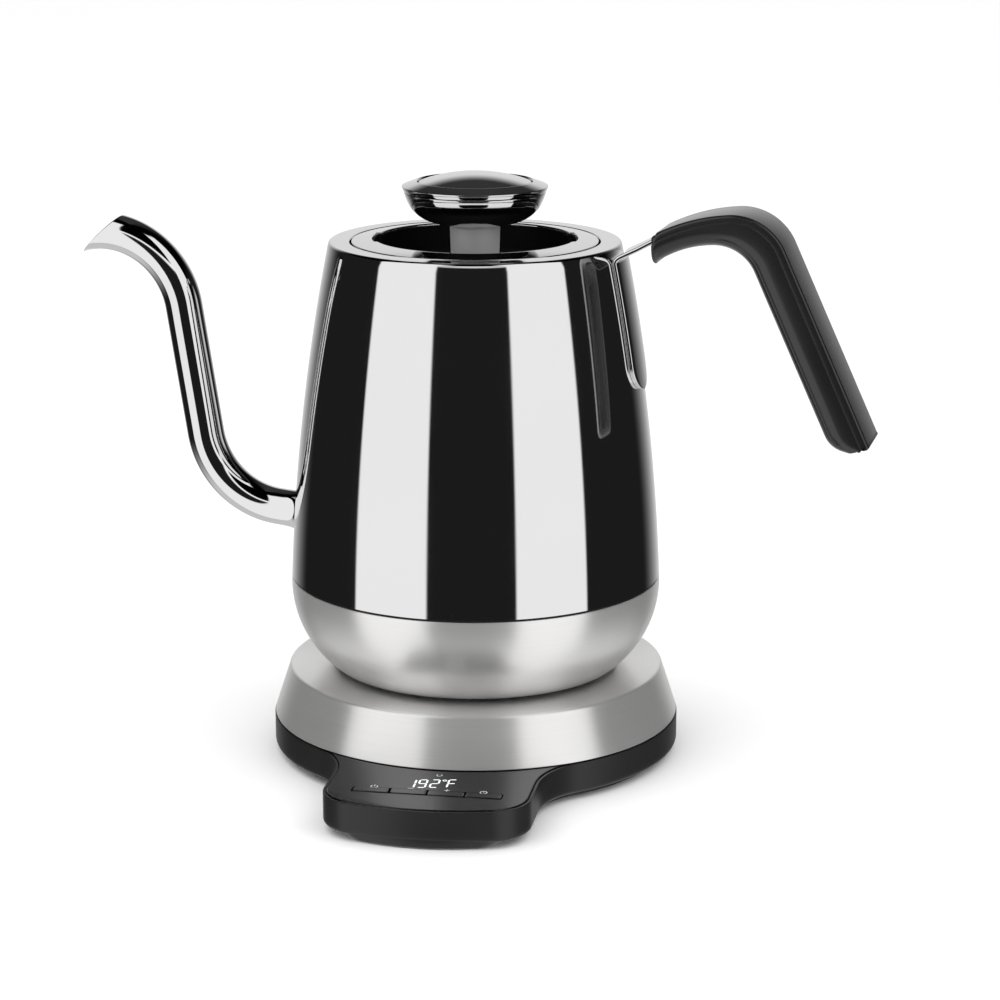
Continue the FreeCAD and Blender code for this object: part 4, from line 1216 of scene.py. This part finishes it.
# ---------------------------------------------------------------- base
@dataclass
class BasePlan:
    """Plan outline of the round base with its control pod."""
    circle_r: float = 73.0 * MM
    pod_half_w: float = 35.3 * MM
    neck_r: float = 30.0 * MM
    side_y: float = -95.0 * MM
    corner: Pair = (32.3 * MM, -103.4 * MM)
    front: Pair = (23.0 * MM, -109.3 * MM)
    nose_y: float = -112.3 * MM

    def right_side(self, inset: float) -> tuple[Array, Pair]:
        """The neck, side and corner on the right, from the round part to the nose.

        The neck's arc touches the circle and the pod's side, so its centre lies one neck radius
        outside both.

        Args:
            inset: distance inside the full outline.

        Returns:
            Points (n, 2), and the point where the neck meets the circle.
        """
        r, w, neck = self.circle_r - inset, self.pod_half_w - inset, self.neck_r + inset
        centre = np.array([w + neck, -math.sqrt((r + neck) ** 2 - (w + neck) ** 2)])
        join = centre * (r / (r + neck))
        to_join = (join - centre) / neck
        halfway = to_join + np.array([-1.0, 0.0])
        middle = centre + halfway / np.linalg.norm(halfway) * neck
        corner_mid = (self.corner[0] - 0.75 * inset, self.corner[1] + 0.66 * inset)
        corner_end = (self.front[0] - 0.2 * inset, self.front[1] + 0.98 * inset)
        neck_arc = arc(tuple(join), tuple(middle), (w, centre[1]), 30)
        side = np.linspace((w, centre[1]), (w, self.side_y), 6)[1:-1]
        turn = arc((w, self.side_y), corner_mid, corner_end, 26)
        return np.concatenate([neck_arc, side, turn]), tuple(join)

    def loop(self, inset: float) -> Array:
        """The whole outline, anticlockwise from the right-hand join.

        Args:
            inset: distance inwards from the outline.

        Returns:
            Points (n, 2).
        """
        right, join = self.right_side(inset)
        left = right * (-1, 1)
        end = right[-1]
        front = arc(tuple(left[-1]), (0.0, self.nose_y + inset), tuple(end), 30)[1:-1]
        first = math.atan2(join[1], join[0])
        a = np.linspace(first, math.pi - first, 190)[1:-1]
        rear = (self.circle_r - inset) * np.stack([np.cos(a), np.sin(a)], -1)
        return np.concatenate([rear, left, front, right[::-1]])

    def pod_loop(self, inset: float, back_r: float, back_y: float) -> Array:
        """Outline of a flat piece over the pod, closed behind by a circle under the skirt.

        Args:
            inset: distance inside the full outline.
            back_r: radius of the circle behind.
            back_y: where the piece ends at the sides.

        Returns:
            Points (n, 2), anticlockwise.
        """
        right, join = self.right_side(inset)
        r = self.circle_r - inset
        ends = [math.asin(back_y / radius) for radius in (r, back_r)]
        a = np.linspace(ends[0], math.atan2(join[1], join[0]), 14)[:-1]
        right = np.concatenate([r * np.stack([np.cos(a), np.sin(a)], -1), right])
        left = right * (-1, 1)
        front = arc(tuple(left[-1]), (0.0, self.nose_y + inset), tuple(right[-1]), 30)[1:-1]
        a = np.linspace(ends[1], -math.pi - ends[1], 80)
        behind = back_r * np.stack([np.cos(a), np.sin(a)], -1)
        return np.concatenate([behind, left, front, right[::-1]])


@dataclass
class HeatingBase:
    """Brushed cover, black housing, floor plate, glossy fascia and keys; the display marks are built apart.
    """
    plan: BasePlan = field(default_factory=BasePlan)
    wall: float = 2.2 * MM
    fascia_inset: float = 1.2 * MM
    fascia_back_r: float = 67.4 * MM
    fascia_back_y: float = -51.2 * MM
    key_pitch: float = 12.75 * MM
    key_half: Pair = (6.1 * MM, 2.3 * MM)
    key_y: float = -95.0 * MM
    key_gap: float = 0.35 * MM
    key_cap_z: float = 12.55 * MM
    stem_r: float = 1.6 * MM
    keys: tuple[str, ...] = ("power", "minus", "plus", "hold")
    deck: Pair = (10.6 * MM, 11.9 * MM)
    foot_recess: Pair = (6.6 * MM, 1.6 * MM)
    screw_recess: Pair = (3.3 * MM, 1.8 * MM)
    feet_circle: float = 57.0 * MM
    screws_circle: float = 61.0 * MM
    keel_levels: tuple[tuple[float, float, float], ...] = (
        (0.4, 0.83, 3.3), (0.6, 0.85, 3.6), (1.2, 0.88, 3.75), (2.0, 0.915, 3.85),
        (2.8, 0.955, 3.9), (3.4, 0.99, 3.9), (4.0, 1.03, 3.85))

    def cover(self) -> Thing:
        """Brushed skirt and top: a steep cone, a tight shoulder, a faint dish and a return inside.

        Returns:
            The object.
        """
        mm, top = MM, 30.9 * MM
        hole_r = 18.6 * mm
        foot = low("base_cover") - 0.4 * mm
        skirt = line((72.8 * mm, foot), (67.4 * mm, 30.2 * mm))
        skirt = skirt[0] + (skirt[1] - skirt[0]) * np.linspace(0, 1, 14)[:, None]
        shoulder = arc(tuple(skirt[-1]), (67.0 * mm, 30.95 * mm), (66.2 * mm, 31.2 * mm), 6)[1:]
        rest = line((60.0 * mm, top), (hole_r, top), (hole_r, top - 1.0 * mm), (65.6 * mm, top - 1.0 * mm),
                    (66.3 * mm, 29.6 * mm), (71.65 * mm, foot))
        profile = np.concatenate([skirt, shoulder, rest])
        return build("base_cover_spun", lathe(soften(profile, 0.3 * mm), count=FINE_ROUND))

    def housing(self) -> Thing:
        """Black housing: the wall swept round the plan, and the deck under the fascia.

        The wall's section is a loop of (inset, height) pairs, and each pair takes the plan outline
        at that inset.

        Returns:
            The object.
        """
        mm = MM
        bottom, top = low("base_chassis"), high("base_chassis")
        underside, deck = self.deck
        foot = arc((1.6 * mm, bottom), (0.47 * mm, bottom + 0.47 * mm), (0.0, bottom + 1.6 * mm), 7)
        section = np.concatenate([
            line((self.wall, bottom + 0.9 * mm), (self.wall - 0.1 * mm, bottom)), foot,
            soften(line((0.0, bottom + 3.0 * mm), (0.0, top), (1.0 * mm, top), (1.0 * mm, deck),
                        (self.wall, deck)), 0.22 * mm, 3, closed=False)])
        loops = np.stack([self.plan.loop(inset) for inset in section[:, 0]])
        wall = stacked(loops, section[:, 1], lids=False)
        shelf = prism(self.plan.pod_loop(1.1 * mm, 68.8 * mm, -51.1 * mm), underside, deck - 0.01 * mm)
        return build("base_housing", wall, shelf)

    def keel(self) -> Thing:
        """Floor plate: a disc whose front narrows downwards into a keel under the pod.

        Each level takes the plan outline well inside the wall. In front of the round part its
        width is multiplied by the level's factor and it is moved forward, both given in
        keel_levels after the height in millimetres. Feet and screws keep their recesses.

        Returns:
            The object.
        """
        height, factor, forward = np.array(self.keel_levels).T
        loop = self.plan.loop(4.0 * MM)
        front = np.clip((-loop[:, 1:] - 66 * MM) / (16 * MM), 0, 1)
        front = front * front * (3 - 2 * front)
        wide = 1 + (factor[:, None, None] - 1) * front
        ahead = forward[:, None, None] * MM * front
        loops = np.concatenate([loop[:, :1] * wide, loop[:, 1:] - ahead], -1)
        piece = build("floor_plate_keel", stacked(loops, height * MM))
        cut_out(piece, build("recess_cutter", *self.recesses()))
        return piece

    def recesses(self) -> list[Patch]:
        """Round cutters for the feet and the screw heads under the floor plate.

        Returns:
            One upright prism for each.
        """
        spots = []
        for circle, first, size in ((self.feet_circle, 45.0, self.foot_recess),
                                    (self.screws_circle, 22.5, self.screw_recess)):
            for quarter in range(4):
                angle = math.radians(first + 90 * quarter)
                spots.append((circle * math.cos(angle), circle * math.sin(angle), size))
        spots += [(0.0, 0.0, self.foot_recess), (-16 * MM, -100 * MM, self.foot_recess),
                  (16 * MM, -100 * MM, self.foot_recess), (0.0, -101 * MM, self.screw_recess)]
        return [prism(rounded_box_loop(radius, radius, radius, 8) + (x, y), -1 * MM, depth)
                for x, y, (radius, depth) in spots]

    def fascia(self) -> Thing:
        """Glossy plate over the pod with a fine bevelled edge; the key slot is cut out.

        Returns:
            The object.
        """
        insets, heights = bevelled(low("control_fascia"), high("control_fascia"), 0.45 * MM, 1.5, 1.5)
        loops = [self.plan.pod_loop(self.fascia_inset + i, self.fascia_back_r + i, self.fascia_back_y - i)
                 for i in insets]
        piece = build("fascia_plate", stacked(np.stack(loops), heights))
        reach = (len(self.keys) - 1) / 2 * self.key_pitch + self.key_half[0] + self.key_gap
        slot = rounded_box_loop(reach, self.key_half[1] + self.key_gap, 0.8 * MM) + (0.0, self.key_y)
        cut_out(piece, build("key_slot_cutter", prism(slot, 5 * MM, 20 * MM)))
        return piece

    def key(self, index: int) -> Thing:
        """A key with a softly bevelled cap and its stem.

        Args:
            index: its place in the row, from the left.

        Returns:
            The object.
        """
        node = "key_" + self.keys[index]
        spot = ((index - (len(self.keys) - 1) / 2) * self.key_pitch, self.key_y)
        insets, heights = bevelled(self.key_cap_z, high(node), 0.5 * MM, 1.3, 1.4)
        half_x, half_y = self.key_half
        loops = [rounded_box_loop(half_x - i, half_y - i, 0.75 * MM - i * 0.5) for i in insets]
        stem = rounded_box_loop(self.stem_r, self.stem_r, self.stem_r) + spot
        return build(node + "_cap", stacked(np.stack(loops) + spot, heights),
                     prism(stem, low(node), self.key_cap_z))

    def dress(self) -> None:
        """Build and place the pieces."""
        place(self.cover(), BRUSHED_STEEL, "base", "base_cover")
        place(self.housing(), BASE_BLACK, "base", "base_chassis")
        place(self.keel(), BASE_BLACK, "base", "base_floor_plate")
        place(self.fascia(), GLOSS_BLACK, "base", "control_fascia")
        for index, key in enumerate(self.keys):
            place(self.key(index), GLOSS_BLACK, key + "_key", "key_" + key)


@dataclass
class DisplayMarks:
    """Seven-segment reading, its small flag and the key icons, as raised film 0.03 mm thick."""
    thickness: float = 0.03 * MM
    stroke: float = 0.62 * MM
    digit_w: float = 2.5 * MM
    digit_h: float = 7.4 * MM
    slant: float = 0.13
    turn: float = math.radians(9.5)
    centre: Pair = (0.5 * MM, -85.8 * MM)
    icon_y: float = -91.6 * MM
    surface_z: float = field(default_factory=lambda: high("control_fascia"))

    SEGMENTS = {"1": "bc", "9": "abcdfg", "2": "abged", "F": "aefg"}

    def ribbon(self, path: Array, widths: Array, closed: bool = False) -> Patch:
        """A flat strip: each path point plus and minus half the width along its normal.

        Args:
            path: points (n, 2).
            widths: full width at each point (n,).
            closed: whether the path is a loop.

        Returns:
            The strip as a thin closed bar.
        """
        ahead, behind = (np.roll(path, -1, 0), np.roll(path, 1, 0)) if closed else (path[1:], path[:-1])
        step = ahead - behind if closed else np.gradient(path, axis=0)
        step = step / np.linalg.norm(step, axis=1)[:, None]
        normal = np.stack([-step[:, 1], step[:, 0]], -1) * (widths / 2)[:, None]
        z = self.surface_z
        corners = [(path + normal, z), (path - normal, z), (path - normal, z + self.thickness),
                   (path + normal, z + self.thickness)]
        grid = np.stack([np.concatenate([flat, np.full((len(flat), 1), h)], 1) for flat, h in corners], 1)
        return Patch(grid, wrap_rows=closed, lids=not closed)

    def bar(self, start: Pair, end: Pair, width: float, taper: bool) -> Patch:
        """A straight stroke, with pointed ends if tapered.

        Args:
            start: one end.
            end: the other end.
            width: stroke width.
            taper: whether the ends are pointed.

        Returns:
            The stroke.
        """
        share = np.array([0.0, 0.12, 0.88, 1.0])[:, None]
        path = np.array(start) + (np.array(end) - np.array(start)) * share
        widths = width * (np.array([0.1, 1.0, 1.0, 0.1]) if taper else np.ones(4))
        return self.ribbon(self.to_panel(path), widths)

    def to_panel(self, path: Array) -> Array:
        """Slant text coordinates, turn them and move them to the display's centre.

        Args:
            path: points (n, 2) in the text's own frame.

        Returns:
            Points (n, 2) on the panel.
        """
        x, y = path[:, 0] + self.slant * path[:, 1], path[:, 1]
        c, s = math.cos(self.turn), math.sin(self.turn)
        return np.stack([x * c - y * s, x * s + y * c], -1) + self.centre

    def digit(self, name: str, x: float) -> list[Patch]:
        """Segments of one character whose left edge is at x.

        Args:
            name: the character.
            x: its left edge.

        Returns:
            One patch per lit segment.
        """
        w, h, gap = self.digit_w, self.digit_h / 2, 0.12 * MM
        ends = {"a": ((x, h), (x + w, h)), "g": ((x, 0), (x + w, 0)), "d": ((x, -h), (x + w, -h)),
                "f": ((x, h), (x, 0)), "b": ((x + w, h), (x + w, 0)),
                "e": ((x, 0), (x, -h)), "c": ((x + w, 0), (x + w, -h))}
        patches = []
        for segment in self.SEGMENTS[name]:
            start, end = (np.array(p, float) for p in ends[segment])
            unit = (end - start) / np.linalg.norm(end - start)
            patches.append(self.bar(tuple(start + unit * gap), tuple(end - unit * gap), self.stroke, True))
        return patches

    def ring(self, centre: Pair, radius: float, width: float, opening: float = 0.0) -> Patch:
        """A circle stroke, open at the top by the given angle.

        Args:
            centre: the circle's centre.
            radius: its radius.
            width: stroke width.
            opening: angle left open at the top.

        Returns:
            The stroke.
        """
        closed = opening == 0.0
        a = math.pi / 2 + opening / 2 + np.linspace(0, 2 * math.pi - opening, 33)[:-1 if closed else None]
        path = np.array(centre) + radius * np.stack([np.cos(a), np.sin(a)], -1)
        return self.ribbon(path, np.full(len(path), width), closed)

    def reading(self) -> Thing:
        """The lit reading.

        Returns:
            The object.
        """
        degree = self.ring(tuple(self.to_panel(np.array([[3.4 * MM, 3.0 * MM]]))[0]), 0.6 * MM, 0.35 * MM)
        patches = [degree]
        for name, x in (("1", -8.7 * MM), ("9", -4.9 * MM), ("2", -0.8 * MM), ("F", 4.9 * MM)):
            patches += self.digit(name, x)
        return build("display_reading", *patches)

    def icons(self) -> Thing:
        """Power, minus, plus and hold marks behind their keys, and a small flag over the reading.

        Returns:
            The object.
        """
        mm, y, thin = MM, self.icon_y, 0.24 * MM
        power_x, minus_x, plus_x, hold_x = -18.6 * mm, -6.2 * mm, 6.2 * mm, 18.6 * mm

        def stroke(x0: float, y0: float, x1: float, y1: float) -> Patch:
            """A straight stroke on the panel.

            Args:
                x0: first end across.
                y0: first end up.
                x1: second end across.
                y1: second end up.

            Returns:
                The stroke.
            """
            share = np.linspace(0, 1, 4)[:, None]
            path = np.array([x0, y0]) + (np.array([x1 - x0, y1 - y0])) * share
            return self.ribbon(path, np.full(4, thin))
        patches = [
            self.ring((power_x, y), 1.15 * mm, thin, math.radians(70)),
            stroke(power_x, y + 0.3 * mm, power_x, y + 1.5 * mm),
            stroke(minus_x - 1.0 * mm, y, minus_x + 1.0 * mm, y),
            stroke(plus_x - 1.0 * mm, y, plus_x + 1.0 * mm, y),
            stroke(plus_x, y - 1.0 * mm, plus_x, y + 1.0 * mm),
            self.ring((hold_x, y), 1.15 * mm, thin),
            stroke(hold_x, y, hold_x, y + 0.8 * mm),
            self.ring((1.0 * mm, -77.4 * mm), 0.9 * mm, thin, math.radians(80)),
        ]
        return build("display_icons", *patches)

    def dress(self) -> None:
        """Build and place the marks."""
        place(self.reading(), DISPLAY_WHITE, "base", slot="gloss_black")
        place(self.icons(), ICON_WHITE, "base", slot="gloss_black")


# ---------------------------------------------------------------- carried-over nodes
SMOOTHED = ("bottom_cover", "kettle_socket", "connector_tower", "tower_contacts", "socket_pin",
            "base_feet", "cord_gland", "lid_plate", "lid_skirt", "lid_gasket",
            "vessel_floor", "spout_strainer", "knob_screw", "temperature_probe")


@dataclass
class FrameParts:
    """Frame nodes that keep their own shape: some as smooth-shaded copies, the rest as they are."""
    slots: dict[str, str] = field(default_factory=lambda: {
        part["node"]: part["material_slot"] for part in frame["record"]["subparts"]})
    bodies: dict[str, str] = field(default_factory=lambda: {
        node: body for body, nodes in frame["record"]["behaviour"]["bodies"].items() for node in nodes})

    def smooth_copy(self, node: str) -> Thing:
        """A copy of a node's mesh with its corners merged, so that round faces shade smoothly."""
        return finish_mesh(node + "_smooth", frame["nodes"][node].data.copy(), recalculate=False)

    def dress(self) -> None:
        """Place the copies and give every node that still shows its slot's finish."""
        for node in SMOOTHED:
            place(self.smooth_copy(node), FINISHES[self.slots[node]], self.bodies[node], node)
        for node, thing in frame["nodes"].items():
            if thing.hide_render:
                continue
            for holder in thing.material_slots:
                holder.material = FINISHES[self.slots[node]].material()
            log.info("%s: frame mesh, %s", node, self.slots[node])


# ---------------------------------------------------------------- studio
@dataclass
class Studio:
    """Plain pale floor, a reflection tent that only mirrors see, soft lights and the camera.

    Pairs named for the tent are angles in degrees between which its brightness changes.
    """
    camera_at: tuple[float, float, float] = (0.17365, -0.98485, 0.345)
    camera_pitch: float = math.radians(90 - 14.28)
    camera_turn: float = math.radians(9.5)
    lens: float = 103.7
    floor_r: float = 30.0
    tent_r: float = 4.0
    left_window: Pair = (29.5, 78.0)
    right_window: Pair = (25.0, 72.0)
    window_foot: Pair = (-75.0, -60.0)
    window_head: Pair = (68.0, 73.0)
    window_level: float = 0.93
    hood_side: Pair = (30.0, 34.0)
    hood_foot: Pair = (24.0, 29.0)
    hood_head: Pair = (32.0, 35.0)
    hood_level: float = 1.0
    back_side: Pair = (128.0, 178.0)
    back_head: Pair = (19.0, 36.0)
    back_level: float = 0.74
    card_level: float = 0.012
    ground: Pair = (-16.0, -40.0)
    ground_level: float = 0.60
    world_level: float = 1.03

    def camera(self) -> None:
        """Camera at the object's three-quarter front, looking down 14 degrees."""
        data = bpy.data.cameras.new("camera")
        data.lens = self.lens
        data.sensor_width = 36.0
        data.clip_start, data.clip_end = 0.01, 100.0
        camera = bpy.data.objects.new("camera", data)
        camera.location = self.camera_at
        camera.rotation_euler = (self.camera_pitch, 0.0, self.camera_turn)
        bpy.context.scene.collection.objects.link(camera)
        bpy.context.scene.camera = camera

    def floor(self) -> None:
        """Wide round pale floor that mirrors don't see."""
        graph = NodeGraph("floor_pale")
        graph.shader.inputs["Roughness"].default_value = 0.9
        graph.shader.inputs["Specular IOR Level"].default_value = 0.1
        mix = colour_mix(graph, graph.spread(graph.noise(graph.object_point(), 3.0), 0, 1),
                         (0.975, 0.975, 0.975, 1), (0.985, 0.985, 0.985, 1))
        graph.tree.links.new(mix, graph.shader.inputs["Base Color"])
        r = np.array([0.0, 0.5, self.floor_r])[:, None]
        a = np.arange(96) * (2 * math.pi / 96)
        grid = np.stack([r * np.cos(a), r * np.sin(a), 0 * r + 0 * a - 0.00002], -1)
        floor = build("floor", Patch(grid))
        floor.data.materials.append(graph.material)
        floor.visible_glossy = False

    def tent_directions(self, graph: NodeGraph) -> tuple[Socket, Socket]:
        """Bearing from the camera's side, positive to the right, and angle above the table.

        Args:
            graph: where to add the nodes.

        Returns:
            The two angles in radians.
        """
        x, y, z = graph.add("ShaderNodeSeparateXYZ", {0: graph.object_point()}).outputs
        c, s = math.cos(self.camera_turn), math.sin(self.camera_turn)
        right = graph.maths("ADD", graph.maths("MULTIPLY", x, c), graph.maths("MULTIPLY", y, s))
        ahead = graph.maths("SUBTRACT", graph.maths("MULTIPLY", x, s), graph.maths("MULTIPLY", y, c))
        square = graph.maths("ADD", graph.maths("MULTIPLY", x, x), graph.maths("MULTIPLY", y, y))
        return (graph.maths("ARCTAN2", right, ahead),
                graph.maths("ARCTAN2", z, graph.maths("SQRT", square)))

    def tent_material(self) -> bpy.types.Material:
        """Brightness of the tent by direction.

        Two tall windows stand at both sides of the dark front, and a low hood joins them above
        it. Dark cards follow, and the back brightens towards 180 degrees at table height. The
        crown stays dark and the part below the table is grey.

        Returns:
            An emission material.
        """
        graph = NodeGraph("tent")
        tree = graph.tree
        tree.nodes.remove(graph.shader)
        bearing, rise = self.tent_directions(graph)
        azimuth = graph.maths("ABSOLUTE", bearing)

        def ramp(value: Socket, ends: Pair, first: float, last: float) -> Socket:
            """Smooth step between two values over a pair of angles.

            Args:
                value: the angle.
                ends: the pair, in degrees.
                first: value up to the first angle.
                last: value from the second angle on.

            Returns:
                The level.
            """
            start, end = (math.radians(angle) for angle in ends)
            levels = {"Value": value, "From Min": start, "From Max": end, "To Min": first, "To Max": last}
            return graph.add("ShaderNodeMapRange", levels, interpolation_type="SMOOTHSTEP").outputs["Result"]

        def between(value: Socket, foot: Pair, head: Pair, level: float = 1.0) -> Socket:
            """The level from the foot's angles to the head's, and nought outside them."""
            return graph.maths("MULTIPLY", ramp(value, foot, 0.0, level), ramp(value, head, 1.0, 0.0))

        def window(value: Socket, edges: Pair) -> Socket:
            """One between two bearings, with edges two degrees soft."""
            inner, outer = edges
            return between(value, (inner - 1, inner + 1), (outer - 1, outer + 1))

        left = graph.maths("MULTIPLY", bearing, -1.0)
        windows = graph.maths("ADD", window(bearing, self.right_window), window(left, self.left_window))
        tall = between(rise, self.window_foot, self.window_head, self.window_level)
        hood = graph.maths("MULTIPLY", ramp(azimuth, self.hood_side, self.hood_level, 0.0),
                           between(rise, self.hood_foot, self.hood_head))
        back = graph.maths("MULTIPLY", ramp(azimuth, self.back_side, self.card_level, self.back_level),
                           ramp(rise, self.back_head, 1.0, 0.05))
        ground = ramp(rise, self.ground, 0.0, self.ground_level)
        front = graph.maths("MAXIMUM", graph.maths("MULTIPLY", windows, tall), hood)
        total = graph.maths("MAXIMUM", front, graph.maths("MAXIMUM", back, ground))
        emission = graph.add("ShaderNodeEmission", {"Color": (1, 1, 1, 1), "Strength": total})
        output = next(node for node in tree.nodes if node.type == "OUTPUT_MATERIAL")
        tree.links.new(emission.outputs[0], output.inputs["Surface"])
        graph.material.cycles.emission_sampling = "NONE"
        return graph.material

    def tent(self) -> None:
        """Large sphere round everything, seen by glossy rays alone."""
        t = np.linspace(-math.pi / 2, math.pi / 2, 49)
        profile = self.tent_r * np.stack([np.abs(np.cos(t)), np.sin(t)], -1)
        profile[[0, -1], 0] = 0.0
        tent = build("reflection_tent", lathe(profile, closed=False, count=96))
        tent.data.materials.append(self.tent_material())
        for ray in ("camera", "diffuse", "transmission", "volume_scatter", "shadow"):
            setattr(tent, "visible_" + ray, False)

    def lights(self) -> None:
        """Even white surroundings and two soft overhead lights that mirrors don't see."""
        world = bpy.data.worlds.new("surroundings")
        world.use_nodes = True
        background = world.node_tree.nodes["Background"]
        background.inputs["Strength"].default_value = self.world_level
        background.inputs["Color"].default_value = (1, 1, 1, 1)
        bpy.context.scene.world = world
        for name, at, watts in (("key", (-0.6, -0.5, 1.5), 5.0), ("fill", (0.9, -0.2, 1.3), 4.0)):
            data = bpy.data.lights.new(name, "AREA")
            data.shape, data.size, data.energy = "DISK", 1.2, watts
            light = bpy.data.objects.new(name, data)
            light.location = at
            x, y, z = np.array(at) - np.array([0, 0, 0.08])
            light.rotation_euler = (math.acos(z / math.hypot(x, y, z)), 0.0, math.atan2(x, -y))
            light.visible_glossy = False
            bpy.context.scene.collection.objects.link(light)

    def build(self) -> None:
        """Set up camera, floor, tent, lights and a plain view transform."""
        self.camera()
        self.floor()
        self.tent()
        self.lights()
        bpy.context.scene.view_settings.view_transform = "Standard"


def main() -> None:
    """Build the studio and every sub-assembly in order."""
    logging.basicConfig(level=logging.INFO, format="%(name)s: %(message)s")
    Studio().build()
    vessel = Vessel()
    vessel.dress()
    Gooseneck(vessel).dress(bpy.data.objects["polished_body"])
    Handle(vessel).dress()
    Lid().dress()
    HeatingBase().dress()
    DisplayMarks().dress()
    FrameParts().dress()


if __name__ == "__main__":
    main()
